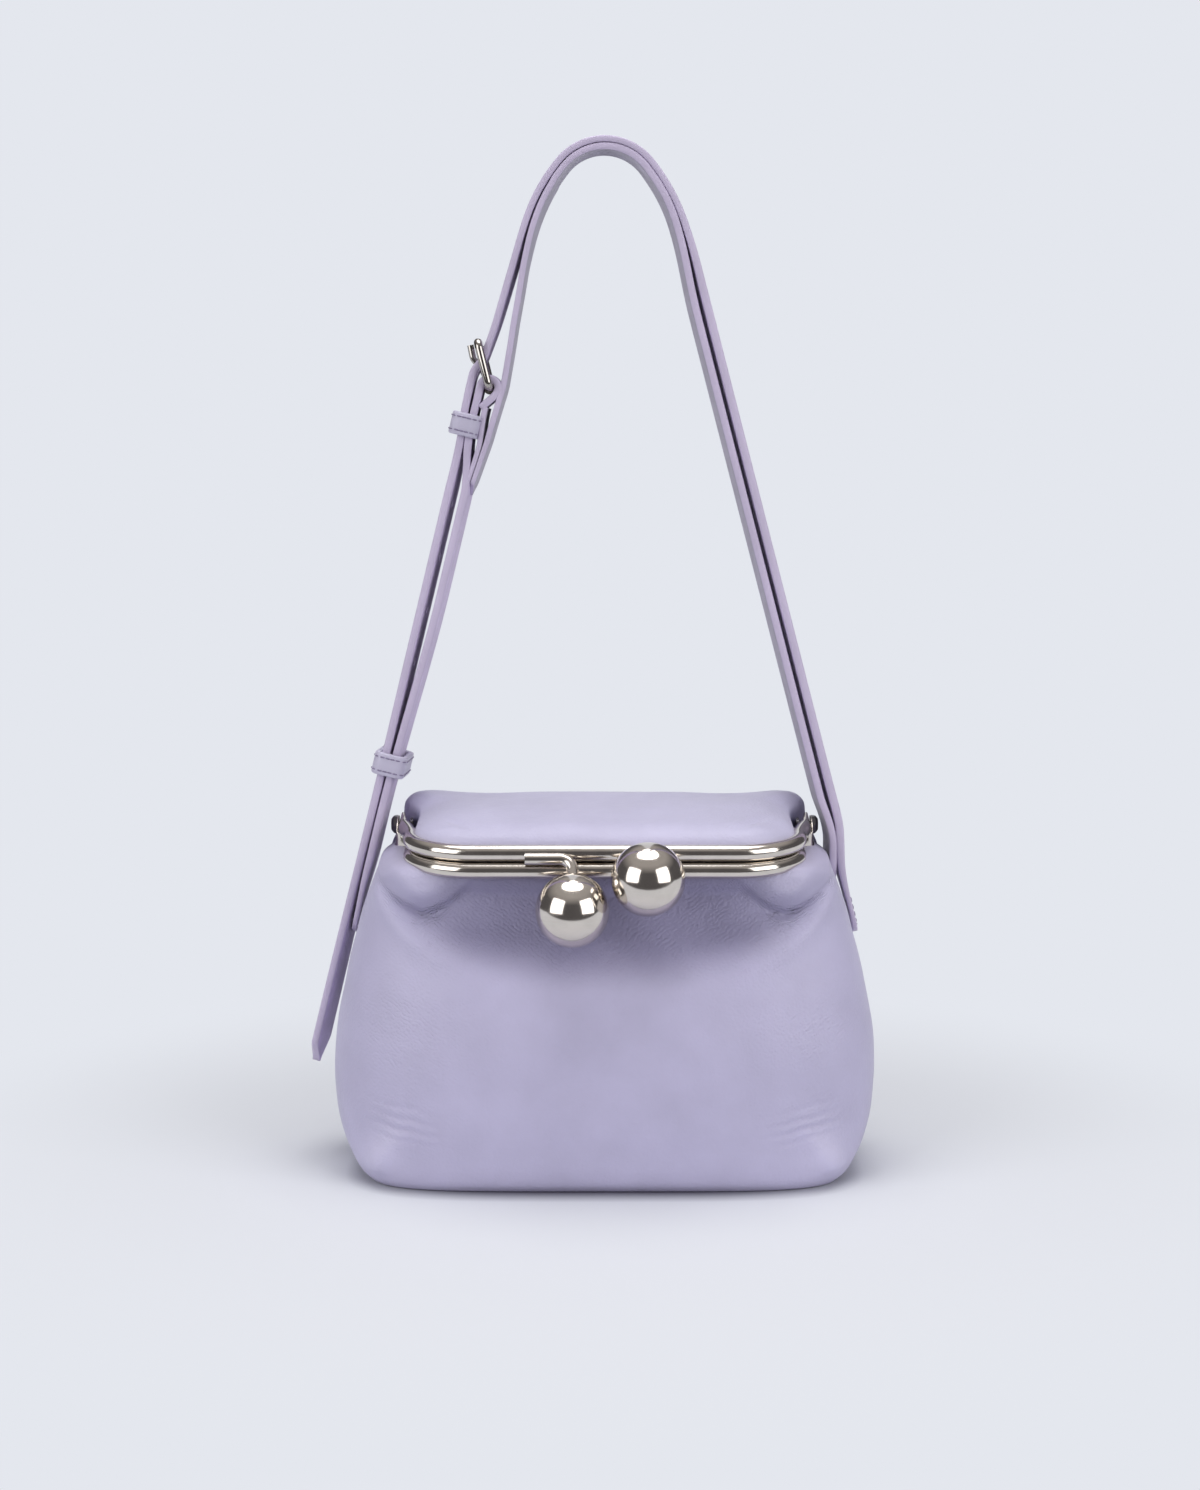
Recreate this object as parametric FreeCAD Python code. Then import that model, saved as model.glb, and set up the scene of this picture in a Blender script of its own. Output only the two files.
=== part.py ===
"""Kiss lock frame purse: leather body, folding tube frame with two ball clasps, buckled shoulder strap.

Millimetres. X to the viewer's right, Y away from the viewer, Z up, origin at the middle of the base.
"""
import FreeCAD, Part
import math
import os
from FreeCAD import Vector

os.makedirs("parts", exist_ok=True)

# Bag body: height at the front, slope towards the back, half width, front depth, back depth, squareness
BODY_SECTIONS = [
    (0.0, 0.0, 93.5, 43.5, 43.5, 4.0),
    (2.5, 0.0, 98.5, 47.5, 47.0, 3.8),
    (8.0, 0.0, 104.0, 51.5, 50.5, 3.6),
    (18.0, 0.0, 108.6, 55.0, 53.0, 3.3),
    (36.0, 0.0, 110.2, 57.5, 54.5, 3.0),
    (56.0, 0.0, 108.7, 57.0, 53.5, 2.9),
    (76.0, 0.01, 105.2, 53.0, 50.0, 2.9),
    (94.0, 0.02, 100.6, 47.5, 45.5, 3.0),
    (108.0, 0.04, 96.2, 42.8, 41.0, 3.3),
    (116.0, 0.065, 91.5, 39.6, 37.6, 3.8),
    (120.4, 0.0752, 85.5, 37.4, 35.4, 4.6),
    (122.4, 0.0752, 79.0, 36.2, 33.8, 5.4),
    (124.2, 0.0752, 75.8, 35.7, 33.0, 6.0),
    (126.6, 0.0752, 75.5, 35.5, 32.6, 6.0),
]
SECTION_POINTS = 32
LEATHER = 2.4
LINING = 0.8
LINING_GAP = 0.6
LINING_TOP = 117.5
BASE_THICK = 2.5
BOARD_THICK = 2.2
SEAT_GAP = 0.1
SEAM_X = 44.0
SEAM_REACH = 100.0
LOFT_PAST = 3.0

# Frame: two U shaped tubes that lie forward from the side hinges
TUBE_R = 3.2
FRAME_HALF = 80.0
FRAME_CORNER = 26.0
RAIL_Y = -40.0
LOWER_RAIL_Z = 126.2
UPPER_RAIL_Z = 133.1
FRAME_TILT = 4.3
LOWER_ARM_END = 6.0
UPPER_ARM_END = -2.0
GROOVE_WIDE = 2.7
GROOVE_PAST_AXIS = 0.6
GROOVE_PAST_TUBE = 2.0
GROOVE_RUN_OUT = 1.0
TONGUE_THICK = 1.3
TONGUE_DROP = -0.6
TONGUE_TIP = 0.9
TONGUE_ROOT = 9.0
TONGUE_GAP = 0.2
CORD_R = 0.55
CORD_RISE = 0.7
CORD_INSET = 0.7
CORD_SHORT = 1.0

# Hinge at each end of the frame
HINGE_Y = 12.0
HINGE_Z = 136.5
LUG_R = 5.0
LUG_FOOT_R = 3.0
LOWER_LUG_ROOT = 1.5
UPPER_LUG_ROOT = 3.0
UPPER_LUG_IN = 79.7
LUG_THICK = 1.9
LUG_GAP = 0.4
ARM_ROOM = 0.9
PIN_R = 1.5
PIN_FIT = 0.06
WASHER_R = 3.6
WASHER_THICK = 0.7
HEAD_R = 4.1
HEAD_THICK = 2.5
HEAD_DOME = 0.6
CLENCH_R = 2.7
CLENCH_THICK = 1.0
SEAT = 0.05

# Ball clasp
BALL_R = 14.3
BALL_WALL = 1.6
STEM_R = 2.3
STEM_BEND = 5.0
STEM_FIT = 0.03
STEM_IN_BALL = 7.0
LEFT_BALL = Vector(-12.5, -57.0, 113.5)
RIGHT_BALL = Vector(16.5, -58.0, 125.8)
LEFT_LEG_END_X = -31.0
STEM_FORWARD = 5.0
LEFT_LEG_DROP = 1.6
RIGHT_LEG_DROP = 1.8

# Top flap that the upper frame carries
FLAP_HALF = 75.4
FLAP_FRONT = -36.4
FLAP_CORNER = 21.5
FLAP_THICK = 2.2
FLAP_TOP = [(-36.4, 134.8), (-33.0, 139.0), (-22.0, 143.2), (-6.0, 146.0), (12.0, 147.0)]
FLAP_SIDE_BACK = 8.0
FLAP_LOW = 4.0
FLAP_REAR_R = 10.5
FLAP_REAR_ANGLE = 40.0
FLAP_LINING_GAP = 0.2
FLAP_LINING = 0.7

# Ridge that the back panel forms behind the flap
RIDGE_SEAM_Z = 124.0
RIDGE_FOOT_Y = 34.9
RIDGE_HEADING = 101.0
RIDGE_RISE = 15.8
RIDGE_ROUND = 6.0
RIDGE_ROUND_TURN = 78.0
RIDGE_LIP = 4.8
RIDGE_HALF = 81.0
EAR_OUT = 83.4
EAR_OUTLINE = [(20.8, 146.2), (26.0, 146.2), (29.4, 143.0), (31.4, 138.0), (33.6, 123.0), (22.0, 123.0)]

# Shoulder strap
STRAP_Y = 16.0
STRAP_WIDE = 20.0
STRAP_THICK = 3.1
LAYER_GAP = 0.4
PIVOT_Z = 124.0
STRAP_FOOT_Z = 114.0
RIGHT_FOOT_X = 96.2
SWAY_R = 70.0
RIGHT_LEAN = 14.75
RIGHT_FOOT_RUN = 14.0
RIGHT_RUN = 222.5
SHOULDER_R = 200.0
SHOULDER_TURN = 5.4
BEND_R = 83.0
BEND_TURN = 18.5
CROWN_R = 23.75
CROWN_RIGHT_TURN = 51.35
CROWN_LEFT_TURN = 51.0
LEFT_SHOULDER_TURN = 3.5
LEFT_RUN = 43.5
CROSS_R = 12.0
CROSS_OUT = 17.0
CROSS_RUN = 1.2
CROSS_BACK = 20.2
TAIL_RUN = 289.0
TAIL_POINT = 7.0
UNDER_FOOT_Z = 132.0
UNDER_LEFT_R = 90.0
UNDER_LEFT_TURN = 13.5
UNDER_RUN = 41.7
UNDER_NECK_R = 40.0
UNDER_NECK_TURN = 9.0
UNDER_WAIST_RUN = 17.0
UNDER_TIP_R = 60.0
UNDER_TIP_TURN = 5.0
UNDER_TIP_RUN = 13.0
UNDER_RETURN_RUN = 21.0
TAB_FOOT_X = 102.9
TAB_FOOT_Z = 92.5
TAB_HEAD_X = 97.9
TAB_GAP = 0.5
HOLE_R = 1.7
HOLE_STEP = 22.0
HOLE_FIRST = 30.0
HOLE_COUNT = 5
PRONG_SLOT = 7.8
SLOT_FIT = 0.7

# Buckle, prong and keepers on the left run of the strap
BAR_X = -46.7
BAR_Z = 313.6
WIRE_R = 1.6
BAR_FIT = 0.4
BUCKLE_LONG = 18.2
BUCKLE_LEAN = 15.3
BUCKLE_HALF = 12.2
BUCKLE_CORNER = 2.6
FOLD_CURL_R = 4.0
FOLD_CURL = 32.0
FOLD_RUN = 3.0
PRONG_WIDE = 2.6
PRONG_FIT = 0.06
PRONG_EYE = 2.7
PRONG_SLIT = 3.6
PRONG_ROOT = 0.6
PRONG_BEND = 3.0
PRONG_STEPS = [(7.0, 1.0), (12.0, 3.6), (17.6, 3.2)]
KEEPER_WALL = 2.3
KEEPER_TALL = 9.2
KEEPER_ROUND = 0.8
UPPER_KEEPER_Z = 299.0
LOWER_KEEPER_Z = 162.5
KEEPER_SIDE_GAP = 0.4
LOWER_KEEPER_SLACK = 1.6

# Larger than the bag, for cutting blocks
FAR = 200.0
TALL = 500.0
DEEP_CUT = 12.0
HALF_TURN = 180.0

X_AXIS = Vector(1, 0, 0)
Y_AXIS = Vector(0, 1, 0)
Z_AXIS = Vector(0, 0, 1)
ORIGIN = Vector(0, 0, 0)


def save(name, shape):
    """Write one node as a clean solid."""
    if shape.ShapeType == "Compound" and len(shape.Solids) == 1:
        shape = shape.Solids[0]
    shape.exportStep("parts/%s.step" % name)
    print(name, len(shape.Solids), round(shape.Volume, 1), shape.isValid())


def box(x0, x1, y0, y1, z0, z1):
    """Box between two corners."""
    return Part.makeBox(x1 - x0, y1 - y0, z1 - z0, Vector(x0, y0, z0))


def mirror_x(shape):
    """Copy on the other side of the middle plane."""
    return shape.mirror(ORIGIN, X_AXIS)


def power(value, exponent):
    """Signed power, for rounded outlines."""
    return math.copysign(abs(value) ** exponent, value)


def section_wire(section, inset):
    """Rounded outline of the body at one height, drawn inwards by inset."""
    front_z, slope, half, front, back, square = section
    points = []
    for i in range(SECTION_POINTS):
        turn = 2 * math.pi * i / SECTION_POINTS
        depth = back if math.sin(turn) > 0 else front
        x = (half - inset) * power(math.cos(turn), 2 / square)
        y = (depth - inset) * power(math.sin(turn), 2 / square)
        points.append(Vector(x, y, front_z + slope * (y - RAIL_Y)))
    curve = Part.BSplineCurve()
    curve.interpolate(points, PeriodicFlag=True)
    return Part.Wire(curve.toShape())


def body_loft(inset, sections):
    """Solid through the outlines."""
    return Part.makeLoft([section_wire(s, inset) for s in sections], True, False)


def wedge(points):
    """Tall prism over a plan outline."""
    corners = [Vector(x, y, -FAR) for x, y in points]
    return Part.Face(Part.makePolygon(corners + corners[:1])).extrude(Z_AXIS * (2 * FAR))


def walk(start, heading, moves):
    """Points and headings along a path of straight runs and turns."""
    x, z = start
    angle = math.radians(heading)
    stops = [(x, z, angle)]
    for move in moves:
        if len(move) == 1:
            x += move[0] * math.cos(angle)
            z += move[0] * math.sin(angle)
        else:
            radius, turn = move[0], math.radians(move[1])
            side = 1 if turn > 0 else -1
            centre_x = x - side * radius * math.sin(angle)
            centre_z = z + side * radius * math.cos(angle)
            angle += turn
            x = centre_x + side * radius * math.sin(angle)
            z = centre_z - side * radius * math.cos(angle)
        stops.append((x, z, angle))
    return stops


def beside(stop, offset):
    """Point to the left of a stop on a path."""
    x, z, angle = stop
    return (x - offset * math.sin(angle), z + offset * math.cos(angle))


def strip_edges(start, heading, moves, offset, place):
    """Edges that run beside a path."""
    edges = []
    stops = walk(start, heading, moves)
    for i, move in enumerate(moves):
        begin = place(*beside(stops[i], offset))
        end = place(*beside(stops[i + 1], offset))
        if len(move) == 1:
            edges.append(Part.makeLine(begin, end))
        else:
            middle = walk(stops[i][:2], math.degrees(stops[i][2]), [(move[0], move[1] / 2)])[-1]
            edges.append(Part.Arc(begin, place(*beside(middle, offset)), end).toShape())
    return edges


def strip(start, heading, moves, thick, place, across):
    """Band of even thickness that follows a path, as wide as the vector across."""
    left = strip_edges(start, heading, moves, thick / 2, place)
    right = strip_edges(start, heading, moves, -thick / 2, place)
    stops = walk(start, heading, moves)
    first = Part.makeLine(place(*beside(stops[0], -thick / 2)), place(*beside(stops[0], thick / 2)))
    last = Part.makeLine(place(*beside(stops[-1], thick / 2)), place(*beside(stops[-1], -thick / 2)))
    wire = Part.Wire(Part.__sortEdges__([first] + left + [last] + right))
    return Part.Face(wire).extrude(across)


def strap_band(start, heading, moves):
    """One leather layer of the shoulder strap."""
    front = STRAP_Y - STRAP_WIDE / 2
    return strip(start, heading, moves, STRAP_THICK, lambda a, b: Vector(a, front, b), Y_AXIS * STRAP_WIDE)


def rod(points, radius, bend):
    """Round rod along a bent line with rounded bends."""
    shape = None
    begin = points[0]
    for i in range(1, len(points)):
        end = points[i]
        bent = i < len(points) - 1
        if bent:
            before = (points[i] - points[i - 1]).normalize()
            after = (points[i + 1] - points[i]).normalize()
            turn = before.getAngle(after)
            cut = bend * math.tan(turn / 2)
            end = points[i] - before * cut
            leave = points[i] + after * cut
            inward = (after - before).normalize()
        length = (end - begin).Length
        piece = Part.makeCylinder(radius, length, begin, end - begin)
        shape = piece if shape is None else shape.fuse(piece)
        if bent:
            axis = before.cross(after).normalize()
            centre = points[i] + inward * (bend / math.cos(turn / 2))
            face = Part.Face(Part.Wire(Part.makeCircle(radius, end, before)))
            shape = shape.fuse(face.revolve(centre, axis, math.degrees(turn)))
            begin = leave
    return shape.removeSplitter()


def tilt(shape, rail_z):
    """Bring a shape drawn flat into the plane of one frame half."""
    copy = shape.copy()
    copy.rotate(Vector(0, RAIL_Y, 0), X_AXIS, FRAME_TILT)
    copy.translate(Z_AXIS * rail_z)
    return copy


def frame_tube(arm_end, radius, inset, rise):
    """U shaped tube, drawn flat, moved inwards by inset and up by rise."""
    half = FRAME_HALF - inset
    front = RAIL_Y + inset
    corners = [Vector(-half, arm_end, rise), Vector(-half, front, rise)]
    corners += [Vector(half, front, rise), Vector(half, arm_end, rise)]
    return rod(corners, radius, FRAME_CORNER - inset)


def u_plate(outer_inset, inner_inset, low, thick, arm_end):
    """Flat U shaped band that lies inside the frame."""
    plates = []
    for inset in (outer_inset, inner_inset):
        half = FRAME_HALF - inset
        front = RAIL_Y + inset
        corner = FRAME_CORNER - inset
        plan = box(-half, half, front, arm_end + inset, low, low + thick)
        edges = [e for e in plan.Edges if is_front_corner(e, half, front)]
        plates.append(plan.makeFillet(corner, edges))
    band = plates[0].cut(plates[1])
    return band.common(box(-FRAME_HALF, FRAME_HALF, RAIL_Y, arm_end, low, low + thick))


def is_front_corner(edge, half, front):
    """True for the two upright edges at the front of a block."""
    a, b = edge.Vertexes[0].Point, edge.Vertexes[1].Point
    upright = abs(a.x - b.x) < 1e-6 and abs(a.y - b.y) < 1e-6
    return upright and abs(a.y - front) < 1e-6 and abs(abs(a.x) - half) < 1e-6


def hull_plate(x0, thick, first, first_r, second, second_r):
    """Plate with two round ends, seen from the side."""
    shape = Part.makeCylinder(first_r, thick, Vector(x0, first[0], first[1]), X_AXIS)
    shape = shape.fuse(Part.makeCylinder(second_r, thick, Vector(x0, second[0], second[1]), X_AXIS))
    dy, dz = second[0] - first[0], second[1] - first[1]
    reach = math.hypot(dy, dz)
    aim = math.atan2(dz, dy)
    spread = math.acos((first_r - second_r) / reach)
    points = []
    for centre, radius, side in ((first, first_r, 1), (second, second_r, 1), (second, second_r, -1),
                                 (first, first_r, -1)):
        angle = aim + side * spread
        points.append(Vector(x0, centre[0] + radius * math.cos(angle), centre[1] + radius * math.sin(angle)))
    web = Part.Face(Part.makePolygon(points + points[:1])).extrude(X_AXIS * thick)
    return shape.fuse(web).removeSplitter()


def pin_hole(radius):
    """Cutter for the hinge axis on the right side."""
    return Part.makeCylinder(radius, FAR, Vector(FLAP_CORNER, HINGE_Y, HINGE_Z), X_AXIS)


def both_sides(shape):
    """The shape and its mirror image as one tool."""
    return shape.fuse(mirror_x(shape))


# Bag body walls
outer = body_loft(0.0, BODY_SECTIONS)
deep = [(-LOFT_PAST,) + BODY_SECTIONS[0][1:]] + BODY_SECTIONS
high = (BODY_SECTIONS[-1][0] + LOFT_PAST,) + BODY_SECTIONS[-1][1:]
inner = body_loft(LEATHER, deep + [high])
walls = outer.cut(inner)

seam_far = SEAM_X + SEAM_REACH
front_wedge = wedge([(-SEAM_X, 0), (SEAM_X, 0), (seam_far, -SEAM_REACH), (-seam_far, -SEAM_REACH)])
back_wedge = wedge([(-SEAM_X, 0), (-seam_far, SEAM_REACH), (seam_far, SEAM_REACH), (SEAM_X, 0)])
side_wedge = wedge([(SEAM_X, 0), (seam_far, SEAM_REACH), (seam_far, -SEAM_REACH)])

# Leather edge that is held in the groove of the lower frame half
lower_tongue = u_plate(TONGUE_TIP, TONGUE_ROOT, TONGUE_DROP - TONGUE_THICK / 2, TONGUE_THICK, LOWER_ARM_END)
lower_tongue = tilt(lower_tongue, LOWER_RAIL_Z)
hollow = body_loft(LEATHER + TONGUE_GAP, deep + [high])
lower_tongue = lower_tongue.cut(hollow)

front_panel = walls.common(front_wedge).fuse(lower_tongue.common(front_wedge))
right_gusset = walls.common(side_wedge).fuse(lower_tongue.common(side_wedge))

# Back panel and the ridge behind the flap
ridge_moves = [(RIDGE_RISE,), (RIDGE_ROUND, RIDGE_ROUND_TURN), (RIDGE_LIP,)]
back_ridge = strip((RIDGE_FOOT_Y, RIDGE_SEAM_Z), RIDGE_HEADING, ridge_moves, LEATHER,
                   lambda a, b: Vector(-RIDGE_HALF, a, b), X_AXIS * (2 * RIDGE_HALF))
above_seam = box(-FAR, FAR, 0.0, FAR, RIDGE_SEAM_Z, FAR)
back_ridge = back_ridge.common(above_seam)
ear_points = [Vector(RIDGE_HALF, y, z) for y, z in EAR_OUTLINE]
ear = Part.Face(Part.makePolygon(ear_points + ear_points[:1])).extrude(X_AXIS * (EAR_OUT - RIDGE_HALF))
right_gusset = right_gusset.fuse(ear)
back_panel = walls.common(back_wedge).cut(above_seam)

# Frame halves
groove_plate = u_plate(-GROOVE_PAST_AXIS, TUBE_R + GROOVE_PAST_TUBE, -GROOVE_WIDE / 2, GROOVE_WIDE,
                       LOWER_ARM_END + GROOVE_RUN_OUT)
upper_groove = groove_plate.common(box(-FRAME_HALF, FRAME_HALF, RAIL_Y, UPPER_ARM_END, -TUBE_R, TUBE_R))
lower_tube = frame_tube(LOWER_ARM_END, TUBE_R, 0.0, 0.0).cut(groove_plate)
upper_tube = frame_tube(UPPER_ARM_END, TUBE_R, 0.0, 0.0)
arm_room = tilt(frame_tube(LOWER_ARM_END + ARM_ROOM, TUBE_R + ARM_ROOM, 0.0, 0.0), LOWER_RAIL_Z)
lower_arm_z = LOWER_RAIL_Z + (LOWER_ARM_END - RAIL_Y) * math.tan(math.radians(FRAME_TILT))
upper_arm_z = UPPER_RAIL_Z + (UPPER_ARM_END - RAIL_Y) * math.tan(math.radians(FRAME_TILT))
lower_lug_in = UPPER_LUG_IN + LUG_THICK + LUG_GAP
lower_lug = hull_plate(lower_lug_in, LUG_THICK, (LOWER_ARM_END - LOWER_LUG_ROOT, lower_arm_z), LUG_FOOT_R,
                       (HINGE_Y, HINGE_Z), LUG_R)
upper_lug = hull_plate(UPPER_LUG_IN, LUG_THICK, (UPPER_ARM_END - UPPER_LUG_ROOT, upper_arm_z), LUG_FOOT_R,
                       (HINGE_Y, HINGE_Z), LUG_R)
pin_holes = both_sides(pin_hole(PIN_R + PIN_FIT))
lower_frame = tilt(lower_tube, LOWER_RAIL_Z).fuse(both_sides(lower_lug)).cut(pin_holes)
upper_lugs = both_sides(upper_lug.cut(arm_room))
upper_frame = tilt(upper_tube, UPPER_RAIL_Z).fuse(upper_lugs).cut(pin_holes)
upper_frame = upper_frame.cut(tilt(upper_groove, UPPER_RAIL_Z))
lower_cord = tilt(frame_tube(LOWER_ARM_END - CORD_SHORT, CORD_R, CORD_INSET, CORD_RISE), LOWER_RAIL_Z)
upper_cord = tilt(frame_tube(UPPER_ARM_END - CORD_SHORT, CORD_R, CORD_INSET, CORD_RISE), UPPER_RAIL_Z)

# Hinge rivets and washers, right side first
pin_out = lower_lug_in + LUG_THICK + WASHER_THICK + 2 * SEAT
pin_in = UPPER_LUG_IN - LUG_GAP - CLENCH_THICK
rivet = Part.makeCylinder(PIN_R, pin_out - pin_in, Vector(pin_in, HINGE_Y, HINGE_Z), X_AXIS)
head_points = []
for i in range(6):
    angle = math.radians(60 * i)
    head_y = HINGE_Y + HEAD_R * math.cos(angle)
    head_z = HINGE_Z + HEAD_R * math.sin(angle)
    head_points.append(Vector(pin_out, head_y, head_z))
head = Part.Face(Part.makePolygon(head_points + head_points[:1])).extrude(X_AXIS * HEAD_THICK)
dome = Part.makeSphere(HEAD_R + HEAD_DOME, Vector(pin_out - HEAD_R + HEAD_THICK, HINGE_Y, HINGE_Z))
rivet = rivet.fuse(head.common(dome))
rivet = rivet.fuse(Part.makeCylinder(CLENCH_R, CLENCH_THICK, Vector(pin_in, HINGE_Y, HINGE_Z), X_AXIS))
washer_in = lower_lug_in + LUG_THICK + SEAT
washer = Part.makeCylinder(WASHER_R, WASHER_THICK, Vector(washer_in, HINGE_Y, HINGE_Z), X_AXIS)
washer = washer.cut(pin_hole(PIN_R + SEAT))


def clasp(ball, leg_end_x, rail_z, leg_drop):
    """Bent stem on a rail and the hollow ball at its end."""
    leg_y = RAIL_Y - STEM_FORWARD
    leg_z = rail_z - leg_drop
    corner = Vector(ball.x, leg_y, leg_z)
    aim = (ball - corner).normalize()
    tip = ball - aim * (BALL_R - STEM_IN_BALL)
    stem_line = [Vector(leg_end_x, leg_y, leg_z), corner, tip]
    rail = Part.makeCylinder(TUBE_R, 2 * FRAME_HALF, Vector(-FRAME_HALF, RAIL_Y, rail_z), X_AXIS)
    stem = rod(stem_line, STEM_R, STEM_BEND).cut(rail)
    shell = Part.makeSphere(BALL_R, ball).cut(Part.makeSphere(BALL_R - BALL_WALL, ball))
    shell = shell.cut(rod(stem_line, STEM_R + STEM_FIT, STEM_BEND))
    return stem, shell


left_stem, left_ball = clasp(LEFT_BALL, LEFT_LEG_END_X, UPPER_RAIL_Z, LEFT_LEG_DROP)

# The right stem leaves the lower rail straight towards the ball, so the leg is hidden behind it
right_root = Vector(RIGHT_BALL.x, RAIL_Y, LOWER_RAIL_Z - RIGHT_LEG_DROP)
right_aim = (RIGHT_BALL - right_root).normalize()
right_tip = RIGHT_BALL - right_aim * (BALL_R - STEM_IN_BALL)
right_rail = Part.makeCylinder(TUBE_R, 2 * FRAME_HALF, Vector(-FRAME_HALF, RAIL_Y, LOWER_RAIL_Z), X_AXIS)
right_stem = rod([right_root, right_tip], STEM_R, STEM_BEND).cut(right_rail)
right_ball = Part.makeSphere(BALL_R, RIGHT_BALL).cut(Part.makeSphere(BALL_R - BALL_WALL, RIGHT_BALL))
right_ball = right_ball.cut(rod([right_root, right_tip], STEM_R + STEM_FIT, STEM_BEND))


def flap_block(inset):
    """Solid under the flap's top surface, drawn inwards by inset."""
    top = [Vector(0, y, z - inset) for y, z in FLAP_TOP]
    curve = Part.BSplineCurve()
    curve.interpolate(top)
    low = UPPER_RAIL_Z - FLAP_LOW
    side = [curve.toShape(), Part.makeLine(top[-1], Vector(0, HINGE_Y, low)),
            Part.makeLine(Vector(0, HINGE_Y, low), Vector(0, FLAP_FRONT, low)),
            Part.makeLine(Vector(0, FLAP_FRONT, low), top[0])]
    profile = Part.Face(Part.Wire(Part.__sortEdges__(side)))
    half = FLAP_HALF - inset
    block = profile.extrude(X_AXIS * (2 * half))
    block.translate(X_AXIS * -half)
    front = FLAP_FRONT + inset
    plan = box(-half, half, front, FAR, 0.0, FAR)
    corners = [e for e in plan.Edges if is_front_corner(e, half, front)]
    return block.common(plan.makeFillet(FLAP_CORNER - inset, corners))


def flap_shell(gap, thick):
    """Domed skin of the flap, open below, with a curved tail about the hinge line."""
    shell = flap_block(gap).cut(flap_block(gap + thick))
    under = tilt(box(-FAR, FAR, -FAR, FAR, -FAR, TONGUE_DROP - TONGUE_THICK / 2), UPPER_RAIL_Z)
    side_in = FLAP_HALF - gap - thick - SEAT
    clear_hinge = both_sides(box(side_in, FAR, FLAP_SIDE_BACK, FAR, 0.0, HINGE_Z + LUG_R))
    radius = FLAP_REAR_R - gap
    half = FLAP_HALF - gap
    ring = Part.makeCylinder(radius, 2 * half, Vector(-half, HINGE_Y, HINGE_Z), X_AXIS)
    ring = ring.cut(Part.makeCylinder(radius - thick, 2 * half, Vector(-half, HINGE_Y, HINGE_Z), X_AXIS))
    reach = 30.0
    spread = math.radians(FLAP_REAR_ANGLE)
    sector = [Vector(-half, HINGE_Y, HINGE_Z), Vector(-half, HINGE_Y, HINGE_Z + reach),
              Vector(-half, HINGE_Y + reach, HINGE_Z + reach),
              Vector(-half, HINGE_Y + reach * math.cos(spread), HINGE_Z + reach * math.sin(spread))]
    tail = ring.common(Part.Face(Part.makePolygon(sector + sector[:1])).extrude(X_AXIS * (2 * half)))
    return shell.cut(under).cut(clear_hinge).fuse(tail)


upper_tongue = u_plate(TONGUE_TIP, FRAME_HALF - FLAP_HALF + FLAP_THICK, TONGUE_DROP - TONGUE_THICK / 2,
                       TONGUE_THICK, UPPER_ARM_END - LUG_GAP)
upper_tongue = tilt(upper_tongue, UPPER_RAIL_Z).cut(flap_block(FLAP_THICK))
top_flap = flap_shell(0.0, FLAP_THICK).fuse(upper_tongue).removeSplitter()
flap_lining = flap_shell(FLAP_THICK + FLAP_LINING_GAP, FLAP_LINING)

# Lining, base panel and its stiffening board
floor_low = BASE_THICK + BOARD_THICK + 2 * SEAT_GAP
lining_body = body_loft(LEATHER + LINING_GAP, deep + [high])
lining_hollow = body_loft(LEATHER + LINING_GAP + LINING, deep + [high])
lining_body = lining_body.cut(box(-FAR, FAR, -FAR, FAR, -FAR, floor_low))
lining_hollow = lining_hollow.cut(box(-FAR, FAR, -FAR, FAR, -FAR, floor_low + LINING))
above_lining = tilt(box(-FAR, FAR, -FAR, FAR, 0.0, FAR), LINING_TOP)
lining = lining_body.cut(lining_hollow).cut(above_lining)
base_panel = body_loft(LEATHER + SEAT_GAP, deep).common(box(-FAR, FAR, -FAR, FAR, 0.0, BASE_THICK))
board_low = BASE_THICK + SEAT_GAP
base_board = body_loft(LEATHER + LINING_GAP, deep).common(
    box(-FAR, FAR, -FAR, FAR, board_low, board_low + BOARD_THICK))

# Sewn strap tabs on the gussets
tab_rise = STRAP_FOOT_Z - TAB_GAP - TAB_FOOT_Z
tab_heading = 90 + math.degrees(math.atan((TAB_FOOT_X - TAB_HEAD_X) / tab_rise))
tab_length = math.hypot(TAB_FOOT_X - TAB_HEAD_X, tab_rise)
right_tab = strap_band((TAB_FOOT_X, TAB_FOOT_Z), tab_heading, [(tab_length - STRAP_THICK / 3,)])
round_z = TAB_FOOT_Z + STRAP_WIDE / 2
round_foot = Part.makeCylinder(STRAP_WIDE / 2, FAR, Vector(0.0, STRAP_Y, round_z), X_AXIS)
upright = box(0.0, FAR, STRAP_Y - STRAP_WIDE, STRAP_Y + STRAP_WIDE, round_z, PIVOT_Z)
right_tab = right_tab.common(round_foot.fuse(upright)).cut(outer)

# Outer strap from its right foot over the crown, through the buckle, to the tail
right_moves = [(RIGHT_FOOT_RUN,), (SWAY_R, RIGHT_LEAN), (RIGHT_RUN,), (SHOULDER_R, SHOULDER_TURN),
               (BEND_R, BEND_TURN), (CROWN_R, CROWN_RIGHT_TURN)]
left_moves = [(CROWN_R, CROWN_LEFT_TURN), (BEND_R, BEND_TURN), (SHOULDER_R, LEFT_SHOULDER_TURN), (LEFT_RUN,),
              (CROSS_R, -CROSS_OUT), (CROSS_RUN,), (CROSS_R, CROSS_BACK), (TAIL_RUN,)]
strap_start = (RIGHT_FOOT_X, STRAP_FOOT_Z)
strap_moves = right_moves + left_moves
long_strap = strap_band(strap_start, 90.0, strap_moves)


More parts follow.
